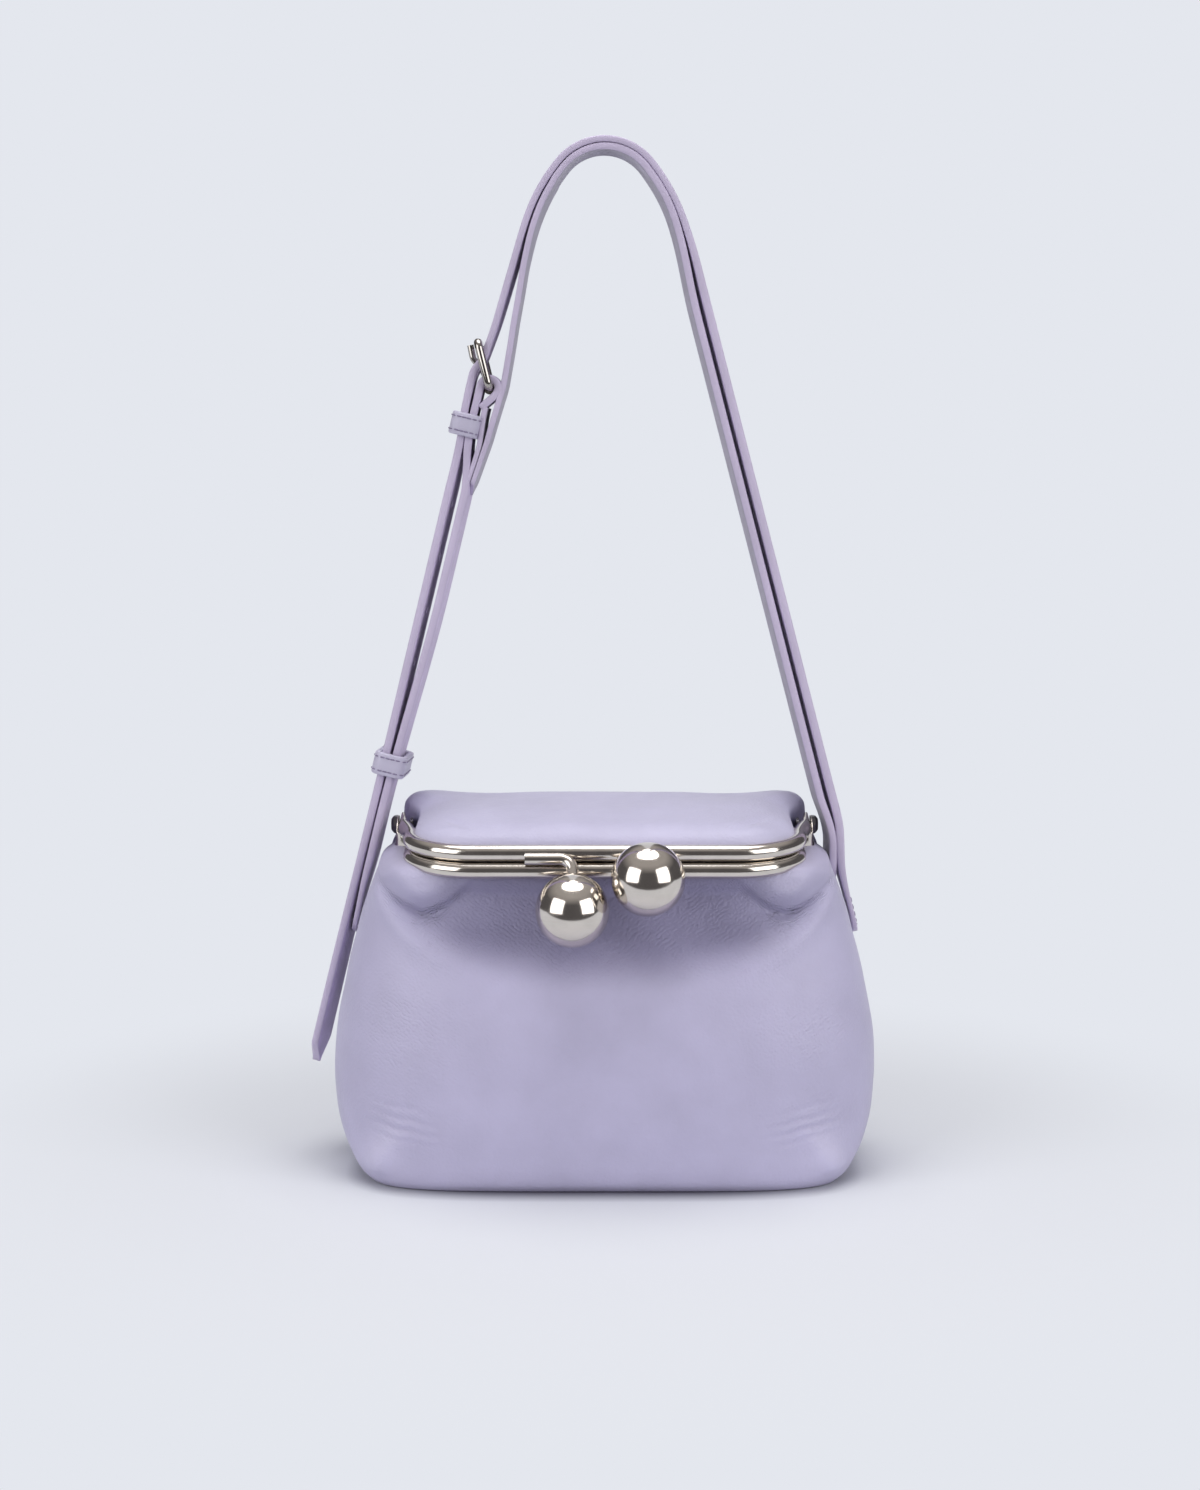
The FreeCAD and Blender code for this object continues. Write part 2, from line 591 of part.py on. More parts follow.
def foot_trim(z):
    """Round lower end of a strap about the swing axis."""
    disc = Part.makeCylinder(STRAP_WIDE / 2, 2 * FAR, Vector(-FAR, STRAP_Y, z), X_AXIS)
    above = box(-FAR, FAR, STRAP_Y - STRAP_WIDE, STRAP_Y + STRAP_WIDE, z, TALL)
    return disc.fuse(above)


stops = walk(strap_start, 90.0, strap_moves)
tail_start, tail_end = stops[-2], stops[-1]
right_half = box(0.0, FAR, -FAR, FAR, 0.0, TALL)
left_half = box(-FAR, 0.0, -FAR, FAR, 0.0, TALL)
long_strap = long_strap.common(right_half).common(foot_trim(PIVOT_Z)).fuse(long_strap.common(left_half))


def across_strap(stop, along, radius):
    """Cutter for a hole through the strap, at a distance along its run."""
    x, z, angle = stop
    x += along * math.cos(angle)
    z += along * math.sin(angle)
    normal = Vector(-math.sin(angle), 0, math.cos(angle))
    return Part.makeCylinder(radius, DEEP_CUT, Vector(x, STRAP_Y, z) - normal * (DEEP_CUT / 2), normal)


for i in range(HOLE_COUNT):
    long_strap = long_strap.cut(across_strap(tail_start, HOLE_FIRST + i * HOLE_STEP, HOLE_R))
cross_stop = stops[len(right_moves) + 5]
slot = across_strap(cross_stop, -PRONG_SLOT / 2 + HOLE_R, HOLE_R + SLOT_FIT)
slot = slot.fuse(across_strap(cross_stop, PRONG_SLOT / 2 - HOLE_R, HOLE_R + SLOT_FIT))
slot = slot.fuse(across_strap(cross_stop, 0.0, HOLE_R + SLOT_FIT))
long_strap = long_strap.cut(slot)

# Pointed tail tip
tip_x, tip_z, tip_angle = tail_end
tip_back = Vector(math.cos(tip_angle), 0, math.sin(tip_angle)) * -TAIL_POINT
for side in (-1, 1):
    point = Vector(tip_x, STRAP_Y, tip_z)
    edge = Vector(tip_x, STRAP_Y + side * STRAP_WIDE / 2, tip_z) + tip_back
    beyond = Vector(tip_x, STRAP_Y + side * STRAP_WIDE, tip_z) - tip_back
    corner = Part.Face(Part.makePolygon([point, edge, beyond, point]))
    normal = Vector(-math.sin(tip_angle), 0, math.cos(tip_angle))
    corner.translate(normal * (-DEEP_CUT / 2))
    long_strap = long_strap.cut(corner.extrude(normal * DEEP_CUT))

# Under layer from the right shoulder over the crown to a free tip beside the buckle
step = STRAP_THICK + LAYER_GAP
under_turned = walk(strap_start, 90.0, right_moves[:2])[-1]
under_begin = beside(under_turned, step)
under_moves = [(RIGHT_RUN,), (SHOULDER_R - step, SHOULDER_TURN), (BEND_R - step, BEND_TURN),
               (CROWN_R - step, CROWN_RIGHT_TURN), (CROWN_R - step, CROWN_LEFT_TURN),
               (BEND_R - step, BEND_TURN), (UNDER_LEFT_R, UNDER_LEFT_TURN), (UNDER_RUN,),
               (UNDER_NECK_R, -UNDER_NECK_TURN), (UNDER_WAIST_RUN,),
               (UNDER_TIP_R, -UNDER_TIP_TURN), (UNDER_TIP_RUN,), (step / 2, -HALF_TURN),
               (UNDER_TIP_RUN,), (UNDER_TIP_R + step, UNDER_TIP_TURN), (UNDER_RETURN_RUN - UNDER_TIP_RUN,)]
under_strap = strap_band(under_begin, 90.0 + RIGHT_LEAN, under_moves)
foot_begin = (RIGHT_FOOT_X - step, STRAP_FOOT_Z + RIGHT_FOOT_RUN)
foot_band = strap_band(foot_begin, 90.0, [(SWAY_R - step, RIGHT_LEAN)])
foot_band = foot_band.cut(box(0.0, FAR, -FAR, FAR, 0.0, UNDER_FOOT_Z))
under_strap = under_strap.fuse(foot_band).removeSplitter()

# Buckle strap from the left foot up to the fold about the buckle bar
tail_heading = math.degrees(tail_start[2])
up_heading = tail_heading - HALF_TURN
inner_line = beside(tail_start, step)
lean = math.radians(up_heading)
fold_r = WIRE_R + BAR_FIT + STRAP_THICK / 2
bar_along = (BAR_X - inner_line[0]) * math.cos(lean) + (BAR_Z - inner_line[1]) * math.sin(lean)
bar_line = (inner_line[0] + bar_along * math.cos(lean), inner_line[1] + bar_along * math.sin(lean))
bar = Vector(bar_line[0] + fold_r * math.sin(lean), STRAP_Y, bar_line[1] - fold_r * math.cos(lean))
foot_along = (bar_line[1] - STRAP_FOOT_Z) / math.sin(lean)
buckle_foot = (bar_line[0] - foot_along * math.cos(lean), STRAP_FOOT_Z)
buckle_moves = [(foot_along,), (fold_r, -HALF_TURN), (FOLD_CURL_R, -FOLD_CURL), (FOLD_RUN,)]
buckle_strap = strap_band(buckle_foot, up_heading, buckle_moves)
buckle_strap = buckle_strap.common(foot_trim(PIVOT_Z))
slit_reach = fold_r + STRAP_THICK
slit = box(bar.x - slit_reach, bar.x + slit_reach, STRAP_Y - PRONG_SLIT / 2, STRAP_Y + PRONG_SLIT / 2,
           bar.z - slit_reach, bar.z + slit_reach)
buckle_strap = buckle_strap.cut(slit)

# Buckle frame with its bar, and the prong
buckle_aim = Vector(-math.sin(math.radians(BUCKLE_LEAN)), 0, math.cos(math.radians(BUCKLE_LEAN)))
far_end = bar + buckle_aim * BUCKLE_LONG
side_step = Y_AXIS * BUCKLE_HALF
ring_line = [bar, bar + side_step, far_end + side_step, far_end - side_step, bar - side_step, bar]
buckle_frame = rod(ring_line, WIRE_R, BUCKLE_CORNER)
prong_line = [bar + buckle_aim * (WIRE_R + PRONG_FIT + PRONG_ROOT)]
for along, outward in PRONG_STEPS:
    prong_line.append(bar + buckle_aim * along - X_AXIS * outward)
prong = rod(prong_line, PRONG_WIDE / 2, PRONG_BEND)
eye = Part.makeCylinder(PRONG_EYE, PRONG_WIDE, bar - Y_AXIS * (PRONG_WIDE / 2), Y_AXIS)
bar_hole = Part.makeCylinder(WIRE_R + PRONG_FIT, STRAP_WIDE, bar - Y_AXIS * (STRAP_WIDE / 2), Y_AXIS)
buckle_prong = prong.fuse(eye).cut(bar_hole)


def keeper(z, slack):
    """Leather loop about the tail and the buckle strap."""
    along = (z - tail_start[1]) / math.sin(tail_start[2])
    centre_x = tail_start[0] + along * math.cos(tail_start[2])
    middle = beside((centre_x, z, tail_start[2]), step / 2)
    half = step / 2 + STRAP_THICK / 2 + KEEPER_SIDE_GAP
    deep_half = STRAP_WIDE / 2 + KEEPER_SIDE_GAP
    shell = box(-half - KEEPER_WALL, half + slack + KEEPER_WALL, -deep_half - KEEPER_WALL,
                deep_half + KEEPER_WALL, -KEEPER_TALL / 2, KEEPER_TALL / 2)
    uprights = [e for e in shell.Edges if abs(e.tangentAt(e.FirstParameter).z) > 0.99]
    shell = shell.makeFillet(KEEPER_WALL * KEEPER_ROUND, uprights)
    shell = shell.cut(box(-half, half + slack, -deep_half, deep_half, -KEEPER_TALL, KEEPER_TALL))
    shell.rotate(ORIGIN, Y_AXIS, 90.0 - up_heading)
    shell.translate(Vector(middle[0], STRAP_Y, middle[1]))
    return shell


upper_keeper = keeper(UPPER_KEEPER_Z, 0.0)
lower_keeper = keeper(LOWER_KEEPER_Z, LOWER_KEEPER_SLACK)

# Write every node
save("front_panel", front_panel)
save("back_panel", back_panel)
save("back_ridge", back_ridge)
save("left_gusset", mirror_x(right_gusset))
save("right_gusset", right_gusset)
save("base_panel", base_panel)
save("base_board", base_board)
save("lining", lining)
save("lower_frame", lower_frame)
save("lower_frame_cord", lower_cord)
save("left_hinge_rivet", mirror_x(rivet))
save("right_hinge_rivet", rivet)
save("left_hinge_washer", mirror_x(washer))
save("right_hinge_washer", washer)
save("right_clasp_stem", right_stem)
save("right_clasp_ball", right_ball)
save("left_strap_tab", mirror_x(right_tab))
save("right_strap_tab", right_tab)
save("upper_frame", upper_frame)
save("upper_frame_cord", upper_cord)
save("top_flap", top_flap)
save("flap_lining", flap_lining)
save("left_clasp_stem", left_stem)
save("left_clasp_ball", left_ball)
save("long_strap", long_strap)
save("under_strap", under_strap)
save("buckle_strap", buckle_strap)
save("upper_keeper", upper_keeper)
save("lower_keeper", lower_keeper)
save("buckle_frame", buckle_frame)
save("buckle_prong", buckle_prong)
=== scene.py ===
"""Kiss lock frame purse: leather body, padded flap, layered strap, satin nickel frame and ball clasps."""
import math

import bmesh
import bpy
import numpy as np
from mathutils import Matrix, Vector, noise


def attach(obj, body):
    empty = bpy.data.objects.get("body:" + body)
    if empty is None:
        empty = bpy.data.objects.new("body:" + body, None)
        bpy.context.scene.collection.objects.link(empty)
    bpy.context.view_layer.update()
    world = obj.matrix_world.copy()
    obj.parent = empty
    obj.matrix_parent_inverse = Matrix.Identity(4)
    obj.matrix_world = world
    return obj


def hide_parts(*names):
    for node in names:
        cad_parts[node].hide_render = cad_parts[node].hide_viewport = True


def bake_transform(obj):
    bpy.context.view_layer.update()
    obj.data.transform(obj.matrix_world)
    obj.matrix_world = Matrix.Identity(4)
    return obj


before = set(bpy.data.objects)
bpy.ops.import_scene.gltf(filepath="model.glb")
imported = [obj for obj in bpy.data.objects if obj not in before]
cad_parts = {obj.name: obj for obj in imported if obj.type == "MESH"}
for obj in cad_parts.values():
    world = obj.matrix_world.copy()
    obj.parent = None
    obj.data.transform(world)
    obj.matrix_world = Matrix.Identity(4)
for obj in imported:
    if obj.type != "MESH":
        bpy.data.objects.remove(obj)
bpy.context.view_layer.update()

MM = 0.001
BACKWARD = np.array([0.0, 1.0, 0.0])

# Camera, in millimetres and pixels of a 1200 by 1490 picture
CAMERA_AT = (-1.9, -1000.0, 290.0)
CAMERA_PITCH = 6.81
FOCAL_PIXELS = 2499.0
PICTURE_TALL = 1490.0
SENSOR = 36.0

# Colours as seen on screen
BACKGROUND = (228, 231, 238)
FLOOR_COLOUR = (221, 223, 229)
# Colour of the shadow painted on the floor under the bag
PAINTED_SHADOW_COLOUR = (108, 105, 122)
BODY_COLOUR = (178, 173, 201)
# The flap is the body's leather, painted lighter for the top light that falls on it
FLAP_LIT_COLOUR = (187, 183, 209)
STRAP_COLOUR = (192, 182, 208)
EDGE_COLOUR = (190, 179, 205)
SUEDE_COLOUR = (154, 148, 169)
# Napped inner face of the long and buckle straps: its real nap, painted lighter and more violet than the
# suede to lift the shade in the slits between layers
LIT_NAP_COLOUR = (196, 180, 216)
KEEPER_COLOUR = (187, 182, 204)
LINING_COLOUR = (142, 136, 160)
THREAD_COLOUR = (132, 122, 152)
NICKEL_COLOUR = (215, 208, 200)
BUCKLE_COLOUR = (172, 167, 162)
GUNMETAL_COLOUR = (96, 94, 98)
BOARD_COLOUR = (150, 138, 122)
CORD_COLOUR = (190, 184, 170)
WALL_COLOUR = (92, 90, 92)
WALL_TOP_COLOUR = (176, 172, 170)
DRIFT_STOPS = (0.3, 0.7)

# Floor, in metres but for the half size of the shadow painted under the bag, and the studio round it
PAINTED_SHADOW_HALF = (84.0, 49.0)
PAINTED_SHADOW_FADE = (0.77, 1.45)
PAINTED_SHADOW_SQUARE = 4.0
FLOOR_SIZE = 6.0
FLOOR_FRONT = 0.36
FLOOR_DROP = 0.0003
FLOOR_FADE = (0.125, 0.34)
AMBIENT = 0.22
LAMP_TARGET = (0.0, 0.0, 0.15)
WALL_FAR = 3500.0
WALL_LIFT = (-34.0, 74.0)
WALL_TURN = (-262.0, 82.0)
WALL_ROWS = 20
WALL_COLUMNS = 40

# Leather grain: lengths in millimetres or metres, scales per metre
RING_SPACING = 1.15
RING_DEEP = 0.00045
BIAS_SPACING = 1.5
BIAS_DEEP = 0.00012
WRINKLE_STRAY = 260.0
WRINKLE_WANDER = 2.2
WRINKLE_SHARP = 0.32
WRINKLE_PATCH = 170.0
BIAS_SLOPE = 0.65
PEBBLE_WARP = 300.0
PEBBLE_DEEP = 0.085
SLACK_PEBBLES = 2.2
FINE_GRAIN = 1400.0
FINE_DEEP = 0.00003
BROAD_GRAIN = 180.0
BROAD_DEEP = 0.00016
LEATHER_DRIFT = 38.0
NAP_DEEP = 0.0004
WAVE_TURN = 6.283

# Bag body: height at the front, slope towards the back, half width, front depth, back depth, squareness
BODY_SECTIONS = [
    (0.0, 0.0, 94.5, 48.0, 45.0, 5.0),
    (2.5, 0.0, 98.0, 50.6, 48.0, 4.4),
    (8.0, 0.0, 101.8, 53.2, 51.0, 3.9),
    (18.0, 0.0, 106.2, 55.6, 53.0, 3.4),
    (36.0, 0.0, 109.2, 57.5, 54.5, 3.0),
    (56.0, 0.0, 108.7, 57.0, 53.5, 2.9),
    (76.0, 0.01, 105.2, 53.0, 50.0, 2.9),
    (94.0, 0.02, 100.6, 47.5, 45.5, 3.0),
    (108.0, 0.04, 96.2, 42.8, 41.0, 3.3),
    (116.0, 0.065, 92.0, 39.8, 37.6, 3.8),
    (120.4, 0.0752, 89.5, 37.6, 35.4, 4.6),
    (122.2, 0.0752, 86.3, 36.3, 33.8, 5.4),
    (123.6, 0.0752, 80.5, 35.6, 33.0, 6.0),
    (125.2, 0.0752, 75.6, 35.5, 32.6, 6.0),
    (126.0, 0.0752, 77.6, 37.6, 32.4, 6.0),
]
SECTION_SPREAD = 0.7
BASE_FADE = (0.0, 8.0)
RAIL_Y = -40.0
FRONT_FADE = (4.0, 24.0)

# Unevenness of the leather: rise, spacing and seed, and the heights between which it shows
BODY_SAG = [(0.6, 42.0, 1), (0.25, 14.0, 2)]
SAG_LOW = (3.0, 25.0)
SAG_HIGH = (112.0, 122.0)

# Hollow below the rail, the brow under it and the puffs by the frame's corners
HOLLOW_DEEP = 7.5
HOLLOW_FADE = (-10.0, 16.0)
HOLLOW_TOP = (117.0, 125.0)
HOLLOW_ENDS = (74.0, 95.0)
BROW_LOW = 89.5
BROW_CLIMB = 21.0
BROW_HALF = 82.0
BROW_END = 92.0
BROW_BEND = 3.6
BROW_RISE = 1.3
BROW_DROP = 5.0
BROW_WIDE = 6.5
BROW_FROM = (36.0, 70.0)
BROW_TO = (90.0, 104.0)
PUFF_X = 72.0
PUFF_Z = 121.0
PUFF_RISE = 2.0
PUFF_REACH = (17.0, 12.0)
PUFF_FADE = (0.3, 1.1)
PUFF_HOLD = 0.8
CREASE_LOW = 108.5
CREASE_CLIMB = 9.3
CREASE_HALF = 16.4
CREASE_BEND = 1.6
CREASE_DEEP = 1.5
CREASE_WIDE = 1.5
CREASE_LONG = 16.0
SHOULDER_RISE = 2.8
SHOULDER_Y = (4.0, 24.0)
SHOULDER_X = (72.0, 84.0)
SHOULDER_Z = (106.0, 120.0)

# Ridge pinched at each lower corner, and the slack creases above it: height and depth
TIP_X = 89.0
TIP_Z = 10.0
TIP_RISE = 2.4
TIP_AIM = (0.58, 0.81)
TIP_WIDE = 4.5
TIP_START = (-8.0, 0.0)
TIP_END = (6.0, 26.0)
LOW_CREASES = [(21.5, 0.5), (25.4, 0.9), (29.5, 0.6), (34.0, 0.35)]
LOW_X = 79.0
LOW_SLOPE = 0.18
LOW_WIDE = 0.9
LOW_LONG = 12.0
LOW_STRAY = (1.2, 9.0, 6)

# Slack, wrinkled places: weight, middle and reach across, middle and reach up
SLACK_PATCHES = [(0.8, 82.0, 26.0, 64.0, 17.0), (0.8, 84.0, 18.0, 28.0, 13.0)]
SLACK_HOLLOW = 0.9
SLACK_UP = (76.0, 98.0)
SLACK_ENDS = (66.0, 84.0)
RING_BELOW = 1.0
RING_WIDE = 4.5
RING_LONG = 19.0
RING_TOP = (0.5, 4.0)

# Shade painted into the colour in the folds, and highlights painted on the lower corners and rim
SHADE_FADE = (-11.0, 7.0)
SHADE_ENDS = (80.0, 94.0)
SHADE_PUFF = 12.0
SHADE_RIM = (4.0, 20.0)
SHADE_EASE = 0.4
PUFF_SHADE = 0.75
PUFF_LIGHT = (0.2, 0.7)
CREASE_SHADE = 0.45
CORNER_LIGHT = 0.6
RIM_LIGHT = 0.2

# Meshes and thicknesses of the body and its lining
BODY_COLUMNS = 520
BODY_ROWS = 180
BASE_RINGS = (0.15, 0.4, 0.65, 0.85, 0.95)
# Share of red, green and blue that painted shade takes from the leather's colour
PAINTED_SHADE_DARK = (0.40, 0.405, 0.33)
LEATHER = 2.2
LINING_INSET = 2.7
LINING_THICK = 0.7
LINING_FLOOR = 5.0
LINING_TOP = 121.5

# Frame and hinge
TUBE_R = 3.3
FRAME_HALF = 77.2
FRAME_CORNER = 26.0
UPPER_RAIL_Z = 133.0
LOWER_RAIL_Z = 126.2
UPPER_EAR_R = 5.0
UPPER_EAR_X = 82.3
UPPER_EAR_HALF = 1.2
UPPER_SPLAY = (-16.0, 12.0)
UPPER_THIN = (-1.0, 11.0)
UPPER_LIFT = (-8.0, 11.0)
LOWER_EAR_R = 3.8
LOWER_EAR_X = 84.4
LOWER_EAR_HALF = 0.5
LOWER_SPLAY = (-1.0, 5.5)
LOWER_THIN = (-4.0, 5.0)
LOWER_LIFT = (1.5, 11.0)
TUBE_SIDES = 32
EAR_SQUARE = 0.45
EAR_REACH = 0.92
EAR_FROM = 4.0
EAR_LEAST = 0.05
RAIL_STEPS = 40
SIDE_STEPS = 50
FRAME_SLOPE = 0.0752
HINGE_Y = 12.0
HINGE_Z = 136.5

# Flap and the ridge behind it
FLAP_FRONT = -36.6
FLAP_HALF = 75.8
FLAP_CORNER = 22.0
RIDGE_BACK = 34.6
RIDGE_RIM_Z = 142.0
RIDGE_SEAM_Z = 123.5
RIDGE_LAP = 1.012
FLAP_SIDE = [(-40.0, 75.8), (5.0, 75.8), (9.0, 76.1), (13.0, 76.8), (16.0, 78.2), (19.0, 80.8), (23.0, 82.9),
             (29.0, 82.7), (32.0, 80.8), (33.8, 77.5), (34.6, 70.0)]
FLAP_CROWN = [(-37.0, 141.2), (-22.0, 144.0), (-6.0, 146.2), (8.0, 147.2), (20.0, 147.7), (30.0, 147.6),
              (36.0, 147.2)]
FLAP_SOFT = 11.0
WING_SOFT = 20.0
HINGE_TUCK = 2.4
TUCK_LONG = 6.0
TUCK_FROM = 60.0
# Shade painted on the flap's sides where they tuck in beside the hinge
TUCK_PAINTED_SHADE = 2.2
TUCK_SHADE = (-5.0, 11.0)
TUCK_X = (74.5, 76.0)
TUCK_Z = (140.0, 144.0)
RIDGE_SOFT = 7.0
RIDGE_Y = (8.0, 20.0)
RIM_FADE = (2.0, 22.0)
RIM_LIFT = 2.0
WING_X = (50.0, 62.0)
WING_Y = (-32.0, -22.0)
FLAP_ROUND = 2.2
FLAP_SAG = (0.5, 26.0)
FLAP_THICK = 2.0
RAIL_OUT = 2.6
RAIL_FADE = (-2.0, 6.0)
RAIL_SINK = 0.4
RAIL_INSIDE = [(-53.0, -15.0), (53.0, RIDGE_BACK)]
REAR_FADE = (9.0, 23.0)

# Puffs and dents of the flap: rise, middle and reach across, middle and reach in depth
FLAP_DENTS = [(1.2, 71.0, 9.0, 24.0, 9.0), (-0.9, 48.0, 12.0, 24.0, 14.0)]
FLAP_FOLD_X = 58.0
FLAP_FOLD_Y = -26.0
FLAP_FOLD_DEEP = 0.7
FLAP_FOLD_SLOPE = 0.8
FLAP_FOLD_WIDE = 2.6
FLAP_FOLD_LONG = 7.0

# Slack places of the flap: weight, middle and reach across, middle and reach in depth
FLAP_SLACK = (1.0, 64.0, 12.0, -6.0, 16.0)
FLAP_SLACK_WIDE = (0.3, 52.0, 26.0)
FLAP_EDGE = 8.0

# Meshes of the flap and its lining
FLAP_ROWS = 110
FLAP_COLUMNS = 150
SKIRT_ROWS = 22
FLAP_LINING_FRONT = 3.0
FLAP_LINING_BACK = 4.5
FLAP_LINING_DROP = 2.9
FLAP_LINING_SHARE = 0.955

# Shoulder strap: a move is a straight run, or a radius and an angle
STRAP_Y = 16.0
STRAP_WIDE = 20.0
STRAP_THICK = 3.1
LAYER_STEP = 3.5
STRAP_TWIST = 3.4
STRAP_STEP = 1.6
TURN_STEP = 3.0
STRAP_ROUND = 0.8
FACE_POINTS = 9
FACE_BOW = 0.25
EDGE_BOW = 0.12
LONG_TIP = 9.0
UNDER_TIP = 5.0
FOOT_ROUND = 9.0
TIP_LEAST = 0.08
FOOT_LEAST = 0.12
TAB_FOOT = (103.4, 91.5)
TAB_HEAD = (97.9, 113.5)
RIGHT_FOOT = (96.2, 114.0)
RIGHT_MOVES = [(14.0,), (70.0, 14.75), (222.5,), (200.0, 5.4), (83.0, 18.5), (23.75, 51.35)]
LEFT_MOVES = [(23.75, 51.0), (83.0, 18.5), (200.0, 3.5), (43.5,), (12.0, -17.0), (1.2,), (12.0, 20.2),
              (289.0,)]
UNDER_MOVES = [(222.5,), (196.5, 5.4), (79.5, 18.5), (20.25, 51.35), (20.25, 51.0), (79.5, 18.5),
               (90.0, 13.5), (41.7,), (40.0, -9.0), (17.0,), (60.0, -5.0), (19.5,)]
UNDER_FOOT_RUN = 16.0
FOLD_R = 3.55
FOLD_MOVES = [(FOLD_R, -180.0), (6.0, -36.0), (6.5,)]
TAB_THICK = 2.1
TAB_FACE = 1.1
TAB_BORDER = [(16.0, 7.4), (8.0, 7.4), (5.0, 6.4), (3.2, 4.2), (2.6, 0.0)]
TAB_FADE = (104.0, 126.0)
TAB_STEPS = 14
TAB_BEND = 24

# Stitches: step, length and radius, and the radius along each one
STITCH_STEP = 3.0
STITCH_LONG = 2.0
STITCH_R = 0.3
KEEPER_STITCH = (1.9, 0.32)
STITCH_SHAPE = [(-0.5, 0.35), (-0.4, 0.8), (-0.15, 1.0), (0.15, 1.0), (0.4, 0.8), (0.5, 0.35)]
STITCH_SIDES = 8
SEAM_SHARE = 0.9
SEAM_FROM = 0.98
SEAM_OUT = (1.002, 1.004, 1.0)

# Thickness, twist and bends of the strap's layers, and the heights between which they change
LOOP_THICK = 2.6
RIGHT_THICK = 3.3
LAYER_OPEN = 2.3
CROWN_FADE = (18.0, 70.0)
FOOT_FADE = (128.0, 150.0)
TIP_THIN = 0.75
TIP_FADE = (0.0, 34.0)
UNDER_LEFT_X = -20.0
RETURN_LONG = 37.0
RETURN_LEAN = 1.9
RETURN_BEND = 16.0
BUCKLE_BOW = 3.0
BOW_TOP = (-2.0, 28.0)
BOW_LOW = (-24.0, 70.0)
BUCKLE_IN = 1.3
TAIL_TWIST = 5.0
TAIL_TURN = 1.6
TAIL_CLEAR = 12.0
TAIL_FADE = (0.0, 30.0)
HANG_FADE = (-10.0, 110.0)
CROWN_TURN = (-10.0, 25.0)
CROWN_MIDDLE = (-16.0, 16.0)
OUTER_TURN = (104.0, 140.0)
UNDER_TURN = (345.0, 390.0)
BUCKLE_TURN = (96.0, 116.0)
BUCKLE_FADE = (270.0, 292.0)
LEFT_THIN = (318.0, 338.0)
RIGHT_THIN = (340.0, 395.0)
RETURN_THIN = 0.92
RETURN_GAP = 0.12

# Height on the strap, and how far its layer sits towards the inside of the loop there
RIGHT_IN = [(118.0, 0.0), (148.0, 0.95), (350.0, 0.95), (391.0, 0.65), (406.0, 0.5)]
LEFT_IN = [(60.0, 1.5), (281.0, 1.55), (293.0, 0.9), (303.0, -0.4), (318.0, -0.7), (328.0, 0.6), (338.0, 1.3),
           (367.0, 1.3), (391.0, 0.65), (406.0, 0.5)]
UNDER_LEFT_IN = [(275.0, -1.3), (293.0, -1.8), (310.0, -1.5), (330.0, -0.4), (338.0, -0.2), (352.0, 0.7),
                 (367.0, 1.2), (391.0, 0.3), (406.0, 0.0)]

# Keepers: heights, then half thickness, half width, wall and height of each loop
UPPER_KEEPER_Z = 299.0
LOWER_KEEPER_Z = 162.5
LOWER_KEEPER = (5.5, 11.9, 2.3, 9.2)
UPPER_KEEPER = (4.9, 11.6, 2.0, 9.2)
KEEPER_SHIFT = 2.0
KEEPER_CORNER = 2.6
KEEPER_EDGE = 0.75
KEEPER_STEPS = 96
KEEPER_BOW = 0.3
KEEPER_ROWS = (-0.3, 0.3)
KEEPER_RISE = 0.15
KEEPER_EACH = 3

# Buckle and the holes in the strap's tail
BAR = (-46.14, 313.46)
BUCKLE_LONG = 18.2
BUCKLE_LEAN = 13.6
BUCKLE_HALF = 12.2
BUCKLE_CORNER = 2.6
BUCKLE_NEAR = 26.0
WIRE_R = 1.65
WIRE_SIDES = 28
TAIL_HOLES = 5
HOLE_FIRST = 30.0
HOLE_STEP = 22.0
HOLE_R = 1.7
HOLE_LONG = 12.0


def linear(colour):
    """Screen colour as linear light."""
    values = []
    for part in colour:
        part = part / 255.0
        values.append(part / 12.92 if part <= 0.04045 else ((part + 0.055) / 1.055) ** 2.4)
    return (*values, 1.0)


def ramp(value, low, high):
    """Smooth step from 0 at low to 1 at high."""
    t = np.clip((np.asarray(value, float) - low) / (high - low), 0.0, 1.0)
    return t * t * (3.0 - 2.0 * t)


def band(value, rise, fall):
    """1 between a smooth rise and a smooth fall."""
    return ramp(value, *rise) * (1.0 - ramp(value, *fall))


def bell(value, width):
    """Soft bump of height 1 about zero."""
    return np.exp(-(np.asarray(value, float) / width) ** 2)


def read(table, value):
    """Value read from a table of pairs."""
    return np.interp(value, *np.transpose(table))


def unit(vectors):
    """Vectors of length 1."""
    return vectors / np.maximum(np.linalg.norm(vectors, axis=-1, keepdims=True), 1e-9)


def reach_along(points):
    """Length along a line up to each of its points."""
    return np.concatenate([[0.0], np.cumsum(np.linalg.norm(np.diff(points, axis=0), axis=1))])


def loop_sides(outline):
    """Directions along a closed outline and out of it, at each point."""
    step = unit(np.roll(outline, -1, axis=0) - np.roll(outline, 1, axis=0))
    return step, np.stack([step[:, 1], -step[:, 0]], axis=-1)


def border(grid):
    """Points round the edge of a grid."""
    return np.concatenate([grid[0, :], grid[1:, -1], grid[-1, -2::-1], grid[-2:0:-1, 0]])


def rough_noise(points, scale, seed):
    """Smooth noise at each point, about -1 to 1."""
    shift = Vector((seed * 7.3, seed * 3.1, seed * 5.7))
    flat = points.reshape(-1, 3) / scale
    values = [noise.noise(Vector(p) + shift) for p in flat]
    return np.array(values).reshape(points.shape[:-1])


def in_scene(name, data):
    """New object in the scene."""
    piece = bpy.data.objects.new(name, data)
    bpy.context.scene.collection.objects.link(piece)
    return piece


